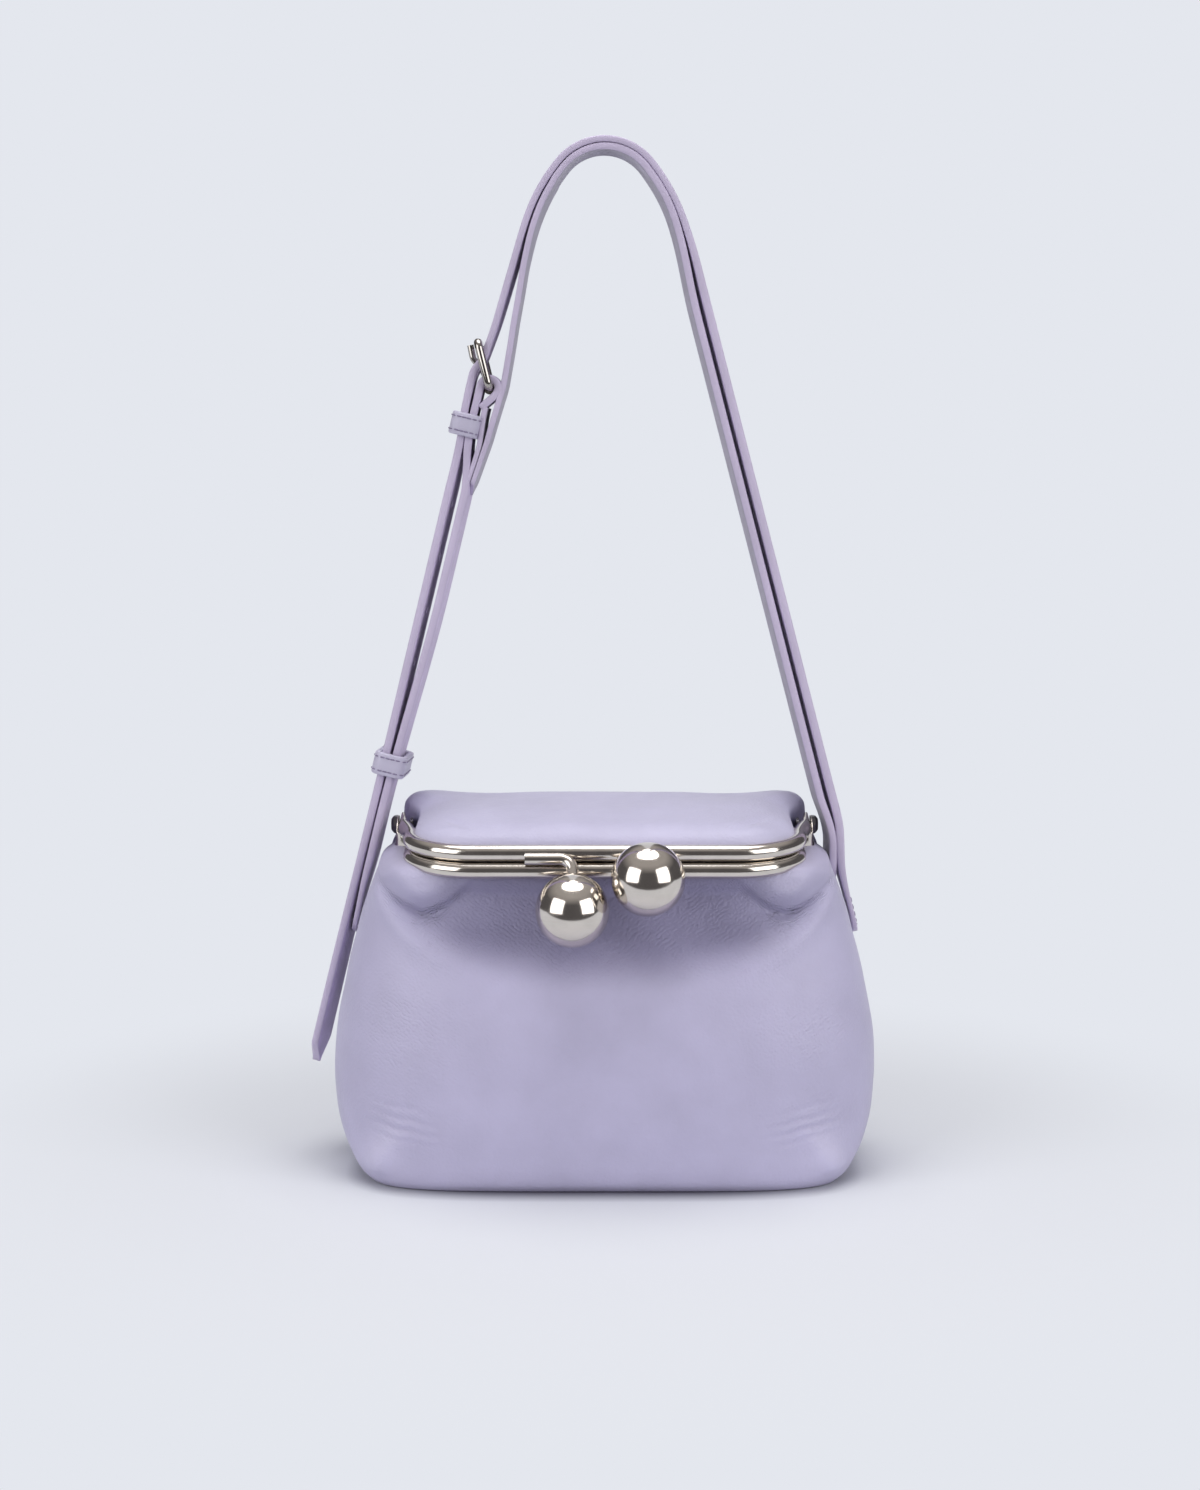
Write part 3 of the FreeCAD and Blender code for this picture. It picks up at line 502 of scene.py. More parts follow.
def make_mesh(name, points, faces, materials, indices=None):
    """Smooth object from points in millimetres."""
    mesh = bpy.data.meshes.new(name)
    mesh.from_pydata((np.asarray(points).reshape(-1, 3) * MM).tolist(), [], faces)
    for material in materials:
        mesh.materials.append(material)
    if indices is not None:
        mesh.polygons.foreach_set("material_index", indices)
    mesh.polygons.foreach_set("use_smooth", [True] * len(mesh.polygons))
    piece = in_scene(name, mesh)
    skin = bmesh.new()
    skin.from_mesh(mesh)
    bmesh.ops.remove_doubles(skin, verts=skin.verts, dist=1e-7)
    bmesh.ops.recalc_face_normals(skin, faces=skin.faces)
    skin.to_mesh(mesh)
    skin.free()
    return piece


def grid_faces(rows, columns, closed):
    """Quads of a grid of points, closed along its columns or not."""
    faces = []
    last = columns if closed else columns - 1
    for r in range(rows - 1):
        for c in range(last):
            d = (c + 1) % columns
            faces.append((r * columns + c, r * columns + d, (r + 1) * columns + d, (r + 1) * columns + c))
    return faces


def apply_modifiers(piece):
    """Bake the modifiers of a piece into its mesh."""
    graph = bpy.context.evaluated_depsgraph_get()
    mesh = bpy.data.meshes.new_from_object(piece.evaluated_get(graph))
    piece.modifiers.clear()
    piece.data = mesh


def thicken(piece, thick):
    """Give a skin its thickness towards the inside."""
    solid = piece.modifiers.new("thick", "SOLIDIFY")
    solid.thickness = thick * MM
    solid.offset = -1.0
    apply_modifiers(piece)


def surface_normals(grid, closed):
    """Unit normals of a grid of points."""
    if closed:
        along = np.roll(grid, -1, axis=1) - np.roll(grid, 1, axis=1)
    else:
        along = np.gradient(grid, axis=1)
    across = np.gradient(grid, axis=0)
    return unit(np.cross(along, across))


class Tree:
    """Shader nodes of one material or of the world."""

    def __init__(self, owner):
        owner.use_nodes = True
        self.nodes = owner.node_tree.nodes
        self.links = owner.node_tree.links

    def feed(self, node, inputs):
        """Set or link the inputs of a node."""
        for name, value in inputs.items():
            if isinstance(value, bpy.types.NodeSocket):
                self.links.new(value, node.inputs[name])
            else:
                node.inputs[name].default_value = value

    def add(self, kind, inputs, output=0, **settings):
        """One output of a new node."""
        node = self.nodes.new("ShaderNode" + kind)
        for name, value in settings.items():
            setattr(node, name, value)
        self.feed(node, inputs)
        return node.outputs[output]

    def place(self, scale=(1.0, 1.0, 1.0)):
        """Coordinates in the object's own space, scaled."""
        return self.add("Mapping", {"Vector": self.add("TexCoord", {}, "Object"), "Scale": scale})

    def noise(self, place, scale, detail):
        """Noise texture."""
        return self.add("TexNoise", {"Vector": place, "Scale": scale, "Detail": detail}, "Fac")

    def spread(self, source, low, high, first=0.25, last=0.75):
        """Map a value from one range to another."""
        ends = {"From Min": first, "From Max": last, "To Min": low, "To Max": high}
        return self.add("MapRange", {"Value": source, **ends})

    def two_colours(self, source, first, second):
        """Colour that drifts between two shades."""
        colour = self.add("ValToRGB", {"Fac": source})
        for stop, place, shown in zip(colour.node.color_ramp.elements, DRIFT_STOPS, (first, second)):
            stop.position = place
            stop.color = linear(shown)
        return colour

    def tone(self, source, colour, dark, light):
        """Colour that drifts between a darker and a lighter shade of itself."""
        return self.two_colours(source, shade(colour, dark), shade(colour, light))

    def bump(self, height, distance, strength, before=None):
        """Bump, on top of another one where given."""
        under = {} if before is None else {"Normal": before}
        return self.add("Bump", {"Height": height, "Distance": distance, "Strength": strength, **under})

    def value(self, name):
        """Value kept at the points of the mesh."""
        return self.add("Attribute", {}, "Fac", attribute_name=name)

    def calc(self, operation, *terms):
        """Sum, product or other result of values."""
        return self.add("Math", dict(enumerate(terms)), operation=operation)

    def vector(self, operation, *terms):
        """Sum or product of vectors."""
        return self.add("VectorMath", dict(enumerate(terms)), operation=operation)


def shade(colour, factor):
    """Lighter or darker screen colour."""
    return tuple(min(255.0, part * factor) for part in colour)


def new_material(name):
    """Material, its nodes and its principled shader."""
    material = bpy.data.materials.new(name)
    tree = Tree(material)
    return material, tree, tree.nodes["Principled BSDF"]


def wrinkle_lines(tree, place, phase, weight, spacing):
    """Height of fine broken wrinkles along the level lines of a mesh value."""
    stray = tree.noise(place, scale=WRINKLE_STRAY, detail=3.0)
    turns = tree.calc("MULTIPLY", tree.value(phase), 1.0 / spacing)
    turns = tree.calc("MULTIPLY_ADD", stray, WRINKLE_WANDER, turns)
    wave = tree.spread(tree.calc("PINGPONG", turns, 0.5), 0.0, 1.0, first=0.0, last=WRINKLE_SHARP)
    patch = tree.spread(tree.noise(place, scale=WRINKLE_PATCH, detail=2.0), 0.1, 1.0, first=0.35, last=0.6)
    return tree.calc("MULTIPLY", tree.calc("MULTIPLY", wave, patch), tree.value(weight))


def leather_material(name, colour, cell, strength, roughness):
    """Pebbled leather with a soft drift of colour."""
    material, tree, shader = new_material(name)
    place = tree.place()
    tone = tree.tone(tree.noise(place, scale=LEATHER_DRIFT, detail=3.0), colour, dark=0.975, light=1.02)
    # Shade and highlights painted into the colour, from a value kept at the mesh points
    painted_dim = tree.vector("MULTIPLY_ADD", tree.value("painted_shade"), [-share for share in PAINTED_SHADE_DARK], (1.0, 1.0, 1.0))
    warp = tree.noise(place, scale=PEBBLE_WARP, detail=2.0)
    bent = tree.vector("MULTIPLY_ADD", warp, (cell, cell, cell), place)
    pebble = tree.add("TexVoronoi", {"Vector": bent, "Scale": 1.0 / cell}, "Distance", feature="SMOOTH_F1")
    deeper = tree.calc("MULTIPLY_ADD", tree.value("slack"), SLACK_PEBBLES, 1.0)
    broad = tree.noise(place, scale=BROAD_GRAIN, detail=4.0)
    layers = [
        (broad, BROAD_DEEP),
        (wrinkle_lines(tree, place, "ring", "ring_slack", RING_SPACING), RING_DEEP),
        (wrinkle_lines(tree, place, "bias", "slack", BIAS_SPACING), BIAS_DEEP),
        (tree.calc("MULTIPLY", pebble, deeper), -cell * PEBBLE_DEEP),
        (tree.noise(place, scale=FINE_GRAIN, detail=4.0), FINE_DEEP),
    ]
    normal = None
    for height, deep in layers:
        normal = tree.bump(height, deep, strength, normal)
    gloss = tree.spread(broad, roughness - 0.05, roughness + 0.06)
    tree.feed(shader, {"Base Color": tree.vector("MULTIPLY", tone, painted_dim), "Normal": normal, "Roughness": gloss,
                       "Specular IOR Level": 0.42, "Sheen Weight": 0.12, "Sheen Roughness": 0.5})
    return material


def cloth_material(name, colour, thread):
    """Fine woven lining."""
    material, tree, shader = new_material(name)
    place = tree.place()
    tone = tree.tone(tree.noise(place, scale=60.0, detail=3.0), colour, dark=0.94, light=1.05)
    weave = {"Vector": place, "Scale": 1.0 / (thread * WAVE_TURN), "Distortion": 0.6, "Detail": 1.0}
    normal = None
    for direction in ("X", "Z"):
        wave = tree.add("TexWave", weave, "Fac", bands_direction=direction)
        normal = tree.bump(wave, thread * 0.4, 0.5, normal)
    tree.feed(shader, {"Base Color": tone, "Normal": normal, "Roughness": 0.82, "Sheen Weight": 0.3})
    return material


def fibre_material(name, colour, shades, drift, nap, strength, roughness, sheen):
    """Napped leather or pressed board: drift and nap are the scale and detail of its noise."""
    material, tree, shader = new_material(name)
    place = tree.place()
    tone = tree.tone(tree.noise(place, *drift), colour, *shades)
    tree.feed(shader, {"Base Color": tone, "Normal": tree.bump(tree.noise(place, *nap), NAP_DEEP, strength),
                       "Roughness": roughness, "Sheen Weight": sheen, "Sheen Roughness": 0.6})
    return material


def metal_material(name, colour, roughness, grain):
    """Plated metal with faint polishing marks."""
    material, tree, shader = new_material(name)
    cloud = tree.noise(tree.place(), scale=140.0, detail=5.0)
    marks = tree.noise(tree.place((1.0, 3.0, 9.0)), scale=500.0, detail=5.0)
    tree.feed(shader, {"Base Color": tree.tone(cloud, colour, dark=0.97, light=1.02), "Metallic": 1.0,
                       "Roughness": tree.spread(cloud, roughness * 0.8, roughness * 1.25),
                       "Normal": tree.bump(marks, distance=0.00006, strength=grain)})
    return material


def cord_material(name, colour):
    """Twisted paper packing cord."""
    material, tree, shader = new_material(name)
    spin = {"Vector": tree.place(), "Scale": 260.0, "Distortion": 1.0}
    twist = tree.add("TexWave", spin, "Fac", bands_direction="DIAGONAL")
    tree.feed(shader, {"Base Color": tree.tone(twist, colour, dark=0.8, light=1.0), "Roughness": 0.85,
                       "Normal": tree.bump(twist, distance=0.0003, strength=0.6)})
    return material


body_leather = leather_material("body_leather", BODY_COLOUR, cell=0.0011, strength=1.0, roughness=0.48)
# Copy of the body leather, painted lighter for the top light on the flap
flap_leather = leather_material("flap_leather", FLAP_LIT_COLOUR, cell=0.0011, strength=0.9, roughness=0.48)
strap_leather = leather_material("strap_leather", STRAP_COLOUR, cell=0.0009, strength=0.7, roughness=0.5)
keeper_leather = leather_material("keeper_leather", KEEPER_COLOUR, cell=0.0009, strength=0.8, roughness=0.5)
edge_paint = leather_material("edge_paint", EDGE_COLOUR, cell=0.0014, strength=0.35, roughness=0.45)
napped = {"shades": (0.93, 1.04), "drift": (120.0, 3.0), "nap": (900.0, 6.0), "sheen": 0.35}
suede = fibre_material("suede", SUEDE_COLOUR, strength=0.5, roughness=0.92, **napped)
# The long and buckle straps' napped face, painted lighter to lift its shade
lit_nap = fibre_material("lit_nap", LIT_NAP_COLOUR, strength=0.5, roughness=0.92, **napped)
lining_cloth = cloth_material("lining_cloth", LINING_COLOUR, thread=0.0004)
thread = cloth_material("thread", THREAD_COLOUR, thread=0.0002)
nickel = metal_material("nickel", NICKEL_COLOUR, roughness=0.14, grain=0.03)
ball_nickel = metal_material("ball_nickel", NICKEL_COLOUR, roughness=0.12, grain=0.03)
buckle_nickel = metal_material("buckle_nickel", BUCKLE_COLOUR, roughness=0.04, grain=0.01)
gunmetal = metal_material("gunmetal", GUNMETAL_COLOUR, roughness=0.3, grain=0.2)
board = fibre_material("board", BOARD_COLOUR, shades=(0.85, 1.1), drift=(700.0, 6.0), nap=(700.0, 6.0),
                       strength=0.4, roughness=0.9, sheen=0.0)
packing = cord_material("packing", CORD_COLOUR)


def paint(names, material):
    """Give CAD nodes a material."""
    for name in names:
        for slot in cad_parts[name].material_slots:
            slot.link = "OBJECT"
            slot.material = material


paint(["left_clasp_stem", "right_clasp_stem"], nickel)
paint(["left_clasp_ball", "right_clasp_ball"], ball_nickel)
paint(["left_hinge_rivet", "right_hinge_rivet", "left_hinge_washer", "right_hinge_washer"], gunmetal)
paint(["buckle_prong"], buckle_nickel)
paint(["base_board"], board)
paint(["lower_frame_cord", "upper_frame_cord"], packing)


# Body

def power(value, exponent):
    """Signed power, for rounded outlines."""
    return np.sign(value) * np.abs(value) ** exponent


def body_outline(section, columns):
    """Outline of the body at one height, in even steps from the right side round the back."""
    front_z, slope, half, front, back, square = section
    turn = np.linspace(0.0, 2.0 * math.pi, 4001)
    depth = np.where(np.sin(turn) > 0, back, front)
    x = half * power(np.cos(turn), 2.0 / square)
    y = depth * power(np.sin(turn), 2.0 / square)
    reach = reach_along(np.column_stack([x, y]))
    even = np.linspace(0.0, reach[-1], columns, endpoint=False)
    x = np.interp(even, reach, x)
    y = np.interp(even, reach, y)
    return np.stack([x, y, front_z + slope * (y - RAIL_Y)], axis=-1)


def smooth_sections(rows):
    """Sections in even steps along a smooth curve through the given ones."""
    table = np.array(BODY_SECTIONS)
    gaps = np.hypot(np.diff(table[:, 0]), np.diff(table[:, 3]))
    gaps = np.maximum(gaps, np.abs(np.diff(table[:, 2])) * SECTION_SPREAD)
    reach = np.concatenate([[0.0], np.cumsum(gaps)])
    slopes = np.gradient(table, reach, axis=0)
    even = np.linspace(0.0, reach[-1], rows)
    k = np.clip(np.searchsorted(reach, even, side="right") - 1, 0, len(reach) - 2)
    h = (reach[k + 1] - reach[k])[:, None]
    t = ((even - reach[k]) / (reach[k + 1] - reach[k]))[:, None]
    return ((2 * t**3 - 3 * t**2 + 1) * table[k] + (t**3 - 2 * t**2 + t) * h * slopes[k]
            + (-2 * t**3 + 3 * t**2) * table[k + 1] + (t**3 - t**2) * h * slopes[k + 1])


def brow_height(side):
    """Height of the brow below the hollow, climbing to the shoulders."""
    return BROW_LOW + BROW_CLIMB * (np.minimum(side, BROW_END) / BROW_HALF) ** BROW_BEND


def crease_height(side):
    """Height of the crease below each puff."""
    return CREASE_LOW + CREASE_CLIMB * (np.abs(side - PUFF_X) / CREASE_HALF) ** CREASE_BEND


def front_share(points):
    """1 on the front of the body, 0 on its sides and back."""
    return ramp(-points[..., 1], *FRONT_FADE)


def body_softness(points):
    """How far the leather stands out from the plain form, in millimetres."""
    side, z = np.abs(points[..., 0]), points[..., 2]
    front = front_share(points)
    out = np.zeros_like(z)
    for rise, spacing, seed in BODY_SAG:
        out += rise * band(z, SAG_LOW, SAG_HIGH) * rough_noise(points, spacing, seed)
    # Puffs that hug the frame corners
    reach = np.hypot((side - PUFF_X) / PUFF_REACH[0], (z - PUFF_Z) / PUFF_REACH[1])
    puff = front * (1.0 - ramp(reach, *PUFF_FADE))
    out += PUFF_RISE * puff
    # Hollow below the rail, its lower edge a brow that climbs to the shoulders
    above = z - brow_height(side)
    hollow = ramp(above, *HOLLOW_FADE) * (1.0 - ramp(z, *HOLLOW_TOP)) * (1.0 - ramp(side, *HOLLOW_ENDS))
    out -= front * HOLLOW_DEEP * hollow * (1.0 - PUFF_HOLD * puff)
    out += front * BROW_RISE * bell(above + BROW_DROP, BROW_WIDE) * band(side, BROW_FROM, BROW_TO)
    # Crease below each puff
    crease = bell(z - crease_height(side), CREASE_WIDE) * bell(side - PUFF_X, CREASE_LONG)
    out -= front * CREASE_DEEP * crease
    # Ridges pinched at the lower corners, and slack creases above them
    along = (TIP_X - side) * TIP_AIM[0] + (z - TIP_Z) * TIP_AIM[1]
    across = (TIP_X - side) * TIP_AIM[1] - (z - TIP_Z) * TIP_AIM[0]
    out += front * TIP_RISE * bell(across, TIP_WIDE) * band(along, TIP_START, TIP_END)
    stray = LOW_STRAY[0] * rough_noise(points, *LOW_STRAY[1:])
    for level, depth in LOW_CREASES:
        line = z - level - LOW_SLOPE * (side - LOW_X) + stray
        out -= front * depth * bell(line, LOW_WIDE) * bell(side - LOW_X, LOW_LONG)
    return out


def body_slack(points):
    """1 where the leather is slack and finely wrinkled, 0 where it is taut."""
    side, z = np.abs(points[..., 0]), points[..., 2]
    slack = SLACK_HOLLOW * ramp(z, *SLACK_UP) * (1.0 - ramp(side, *SLACK_ENDS))
    for weight, x, wide, level, tall in SLACK_PATCHES:
        slack = np.maximum(slack, weight * bell(side - x, wide) * bell(z - level, tall))
    return np.clip(front_share(points) * slack, 0.0, 1.0)


def ring_slack(points):
    """1 about the crease below each puff, where fine wrinkles follow it."""
    side, z = np.abs(points[..., 0]), points[..., 2]
    above = z - crease_height(side)
    near = bell(above + RING_BELOW, RING_WIDE) * bell(side - PUFF_X, RING_LONG)
    return front_share(points) * near * (1.0 - ramp(above, *RING_TOP))


def painted_body_shade(points):
    """Painted shade: 1 deep in the hollow below the rail, below 0 where highlights are painted on the lower
    corners and rim.
    """
    side, z = np.abs(points[..., 0]), points[..., 2]
    above = z - crease_height(side)
    under_puff = bell(side - PUFF_X + 2.0, SHADE_PUFF)
    hollow = ramp(z - brow_height(side), *SHADE_FADE) * (1.0 - ramp(side, *SHADE_ENDS))
    hollow *= 1.0 - SHADE_EASE * under_puff
    puff = ramp(above, 0.0, 3.0) * bell(side - PUFF_X - 3.0, RING_LONG)
    puff_light = (PUFF_LIGHT[0] + PUFF_LIGHT[1] * under_puff) * ramp(above, 2.0, 12.0)
    puff_dark = PUFF_SHADE * under_puff - puff_light
    dark = hollow + (puff_dark - hollow) * puff + CREASE_SHADE * bell(above, CREASE_WIDE) * under_puff
    # Highlights painted on the lower corners and along the bottom rim
    corner = bell(side - TIP_X + 2.0, 8.0) * bell(z - TIP_Z - 5.0, 8.0)
    light = CORNER_LIGHT * corner + RIM_LIGHT * (1.0 - ramp(z, *SHADE_RIM))
    return front_share(points) * dark - light


def set_field(piece, name, values):
    """Keep a value at each point of a mesh for its material."""
    field = piece.data.attributes.new(name, "FLOAT", "POINT")
    field.data.foreach_set("value", np.asarray(values, dtype=np.float32).ravel())


sections = smooth_sections(BODY_ROWS)
body = np.array([body_outline(s, BODY_COLUMNS) for s in sections])
normals = surface_normals(body, True)
outward = np.sign(np.sum(normals[..., :2] * body[..., :2], axis=-1).mean())
stand_off = body_softness(body) * ramp(sections[:, 0], *BASE_FADE)[:, None]
body = body + outward * normals * stand_off[..., None]
shoulder = bell(body[..., 1] - SHOULDER_Y[0], SHOULDER_Y[1]) * ramp(np.abs(body[..., 0]), *SHOULDER_X)
body[..., 2] += SHOULDER_RISE * shoulder * ramp(sections[:, 0], *SHOULDER_Z)[:, None]
base = [body[0] * np.array([share, share, 1.0]) for share in BASE_RINGS]
skin = np.concatenate([np.array(base), body])
faces = grid_faces(len(skin), BODY_COLUMNS, True)
faces.append(tuple(range(BODY_COLUMNS)))
body_piece = make_mesh("body_leather", skin, faces, [body_leather])
set_field(body_piece, "slack", body_slack(skin))
# Shade and highlights painted into the body leather's colour
set_field(body_piece, "painted_shade", painted_body_shade(skin))
set_field(body_piece, "ring_slack", ring_slack(skin))
set_field(body_piece, "ring", skin[..., 2] - crease_height(np.abs(skin[..., 0])))
bias = (skin[..., 2] - BIAS_SLOPE * np.abs(skin[..., 0])) / math.hypot(1.0, BIAS_SLOPE)
set_field(body_piece, "bias", bias)
thicken(body_piece, LEATHER)
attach(body_piece, "bag_body")
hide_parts("front_panel", "back_panel", "left_gusset", "right_gusset", "base_panel")

# Lining
kept = [i for i, s in enumerate(sections) if LINING_FLOOR + 1.0 < s[0] < LINING_TOP]
lining = body[kept][:, ::2] - outward * surface_normals(body, True)[kept][:, ::2] * LINING_INSET
floor = lining[0].copy()
floor[:, 2] = LINING_FLOOR
floor_rings = [floor * np.array([share, share, 1.0]) for share in BASE_RINGS]
lining = np.concatenate([np.array(floor_rings + [floor]), lining])
lining[..., 2] = np.maximum(lining[..., 2], LINING_FLOOR)
faces = grid_faces(len(lining), BODY_COLUMNS // 2, True)
faces.append(tuple(range(BODY_COLUMNS // 2)))
lining_piece = make_mesh("lining_cloth", lining, faces, [lining_cloth])
thicken(lining_piece, LINING_THICK)
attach(lining_piece, "bag_body")
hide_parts("lining")


# Flap

def flap_half(y):
    """Half width of the flap and the ridge at a depth."""
    corner = np.clip(FLAP_FRONT + FLAP_CORNER - y, 0.0, FLAP_CORNER)
    front = FLAP_HALF - FLAP_CORNER + np.sqrt(FLAP_CORNER**2 - corner**2)
    side = read(FLAP_SIDE, y)
    return np.where(y < FLAP_FRONT + FLAP_CORNER, np.minimum(front, side), side)


def soften(values, times):
    """Average each value with its neighbours, the ends held."""
    values = values.copy()
    for _ in range(times):
        values[1:-1] = (values[:-2] + 2.0 * values[1:-1] + values[2:]) / 4.0
    return values


def rim_height(y):
    """Height where the top turns down into the sides."""
    front = UPPER_RAIL_Z + RIM_LIFT + FRAME_SLOPE * (y - RAIL_Y)
    return front + (RIDGE_RIM_Z - front) * ramp(y, *RIM_FADE)


def eased(count):
    """Steps from -1 to 1 that are closer together near both ends."""
    even = np.linspace(-1.0, 1.0, count)
    return 0.3 * even + 0.7 * np.sin(even * math.pi / 2.0)


def edge_gap(spots, edge, nearest, step):
    """Distance of each spot from the piece of edge that leaves its nearest edge point."""
    start = edge[nearest]
    along = edge[(nearest + step) % len(edge)] - start
    share = np.sum((spots - start) * along, axis=1) / np.maximum(np.sum(along**2, axis=1), 1e-9)
    return np.linalg.norm(spots - start - np.clip(share, 0.0, 1.0)[:, None] * along, axis=1)


flap_size = (FLAP_ROWS, FLAP_COLUMNS)
depths = FLAP_FRONT + (RIDGE_BACK - FLAP_FRONT) * (0.5 + 0.5 * eased(FLAP_ROWS))
halves = soften(flap_half(depths), 2)
crown = soften(read(FLAP_CROWN, depths), 12)[:, None]
flap_top = np.empty((*flap_size, 3))
flap_top[..., 0] = halves[:, None] * eased(FLAP_COLUMNS)[None, :]
flap_top[..., 1] = depths[:, None]
edge = border(flap_top)[:, :2]
spots = flap_top[..., :2].reshape(-1, 2)
nearest = np.hypot(*np.moveaxis(spots[:, None, :] - edge[None, :, :], -1, 0)).argmin(axis=1)
inset = np.minimum(edge_gap(spots, edge, nearest, 1), edge_gap(spots, edge, nearest, -1)).reshape(flap_size)
rim_z = rim_height(edge[nearest, 1]).reshape(flap_size)
x, y = np.abs(flap_top[..., 0]), flap_top[..., 1]
soft = FLAP_SOFT + (WING_SOFT - FLAP_SOFT) * ramp(x, *WING_X) * ramp(y, *WING_Y)
soft += (RIDGE_SOFT - soft) * ramp(y, *RIDGE_Y)
round_off = np.clip(1.0 - inset / soft, 0.0, 1.0)
drop = 1.0 - np.sqrt(np.maximum(0.0, 1.0 - round_off**FLAP_ROUND))
flap_top[..., 2] = crown - (crown - rim_z) * drop
lift = FLAP_SAG[0] * rough_noise(flap_top, FLAP_SAG[1], 4)
for rise, x_at, wide, y_at, deep in FLAP_DENTS:
    lift += rise * bell(x - x_at, wide) * bell(y - y_at, deep)
fold_line = (x - FLAP_FOLD_X) - FLAP_FOLD_SLOPE * (y - FLAP_FOLD_Y)
lift -= FLAP_FOLD_DEEP * bell(fold_line, FLAP_FOLD_WIDE) * bell(y - FLAP_FOLD_Y, FLAP_FOLD_LONG)
flap_top[..., 2] += lift * ramp(inset, 0.0, FLAP_EDGE)


def body_rim(x, y, z):
    """Points of the body outline at a height, in the directions of plan points."""
    front_z = z - FRAME_SLOPE * (y - RAIL_Y)
    half, back, square = [np.interp(front_z, sections[:, 0], sections[:, c]) for c in (2, 4, 5)]
    radius = ((np.abs(x) / half) ** square + (np.abs(y) / back) ** square) ** (-1.0 / square)
    return np.column_stack([x * radius, y * radius, np.full_like(x, z)])


rim = border(flap_top)
rear = ramp(rim[:, 1], *REAR_FADE)
rail = rim.copy()
rail[:, 2] = UPPER_RAIL_Z - RAIL_SINK + FRAME_SLOPE * (rim[:, 1] - RAIL_Y)
outside = unit(rim[:, :2] - np.clip(rim[:, :2], *RAIL_INSIDE))
rail[:, :2] += RAIL_OUT * outside * (1.0 - ramp(rim[:, 1], *RAIL_FADE))[:, None]
low = body_rim(rim[:, 0], np.maximum(rim[:, 1], 1.0), RIDGE_SEAM_Z)
low[:, :2] *= RIDGE_LAP
foot = rail + (low - rail) * rear[:, None]
tuck = HINGE_TUCK * bell(foot[:, 1] - HINGE_Y, TUCK_LONG) * (np.abs(foot[:, 0]) > TUCK_FROM)
foot[:, 0] -= np.sign(foot[:, 0]) * tuck
skirt = []
for t in np.linspace(0.0, 1.0, SKIRT_ROWS)[1:]:
    skirt.append(rim + (foot - rim) * np.array([ramp(t, 0.0, 1.0), ramp(t, 0.0, 1.0), t]))
top_count = FLAP_ROWS * FLAP_COLUMNS
faces = grid_faces(FLAP_ROWS, FLAP_COLUMNS, False)
rings = [border(np.arange(top_count).reshape(flap_size))]
rings += [top_count + r * len(rim) + np.arange(len(rim)) for r in range(len(skirt))]
for upper, lower in zip(rings, rings[1:]):
    sides = np.stack([upper, np.roll(upper, -1), np.roll(lower, -1), lower], axis=-1)
    faces += [tuple(side) for side in sides.tolist()]
skin = np.concatenate([flap_top.reshape(-1, 3), np.concatenate(skirt)])
cap = make_mesh("flap_leather", skin, faces, [flap_leather])
side, deep, z = np.abs(skin[:, 0]), skin[:, 1], skin[:, 2]
weight, x_at, wide, y_at, long = FLAP_SLACK
slack = weight * bell(side - x_at, wide) * bell(deep - y_at, long)
weight, x_at, wide = FLAP_SLACK_WIDE
set_field(cap, "slack", np.maximum(slack, weight * bell(side - x_at, wide)))
set_field(cap, "bias", (side + deep) / math.sqrt(2.0))
# Shade painted on the flap's sides where they tuck in beside the hinge
tucked = bell(deep - HINGE_Y - TUCK_SHADE[0], TUCK_SHADE[1]) * ramp(side, *TUCK_X) * (1.0 - ramp(z, *TUCK_Z))
set_field(cap, "painted_shade", TUCK_PAINTED_SHADE * tucked)
thicken(cap, FLAP_THICK)
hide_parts("top_flap", "back_ridge")
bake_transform(cap)

under = flap_top.copy()
under[..., 0] *= FLAP_LINING_SHARE
under[..., 1] = np.clip(under[..., 1], FLAP_FRONT + FLAP_LINING_FRONT, FLAP_LINING_BACK)
under[..., 2] -= FLAP_LINING_DROP
under = under[under[:, 0, 1] < FLAP_LINING_BACK]
faces = grid_faces(len(under), FLAP_COLUMNS, False)
flap_lining = make_mesh("flap_lining_cloth", under, faces, [lining_cloth])
thicken(flap_lining, LINING_THICK)
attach(flap_lining, "lid")
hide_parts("flap_lining")


# Straps

def walk(start, heading, moves):
    """Points and headings in small steps along straight runs and turns."""
    x, z = start
    angle = math.radians(heading)
    stops = [(x, z, angle)]
    for size, *bend in moves:
        turn = math.radians(bend[0]) if bend else 0.0
        length = abs(size * turn) if bend else size
        count = max(2, round(length / STRAP_STEP), int(abs(math.degrees(turn)) / TURN_STEP))
        half_turn = turn / count / 2.0
        step = 2.0 * size * math.sin(abs(half_turn)) if bend else length / count
        for _ in range(count):
            x += step * math.cos(angle + half_turn)
            z += step * math.sin(angle + half_turn)
            angle += turn / count
            stops.append((x, z, angle))
    return np.array(stops)


def from_tab(path, side):
    """Path with the sewn tab below it, joined in a soft bend."""
    foot = np.array(TAB_FOOT) * np.array([side, 1.0])
    head = np.array(TAB_HEAD) * np.array([side, 1.0])
    tab = np.linspace(foot, head, TAB_STEPS)
    line = np.concatenate([tab[:-1], path[2:, :2]])
    line[:TAB_BEND + 1] = soften(line[:TAB_BEND + 1], TAB_STEPS)
    step = np.gradient(line, axis=0)
    return np.column_stack([line, np.arctan2(step[:, 1], step[:, 0])])


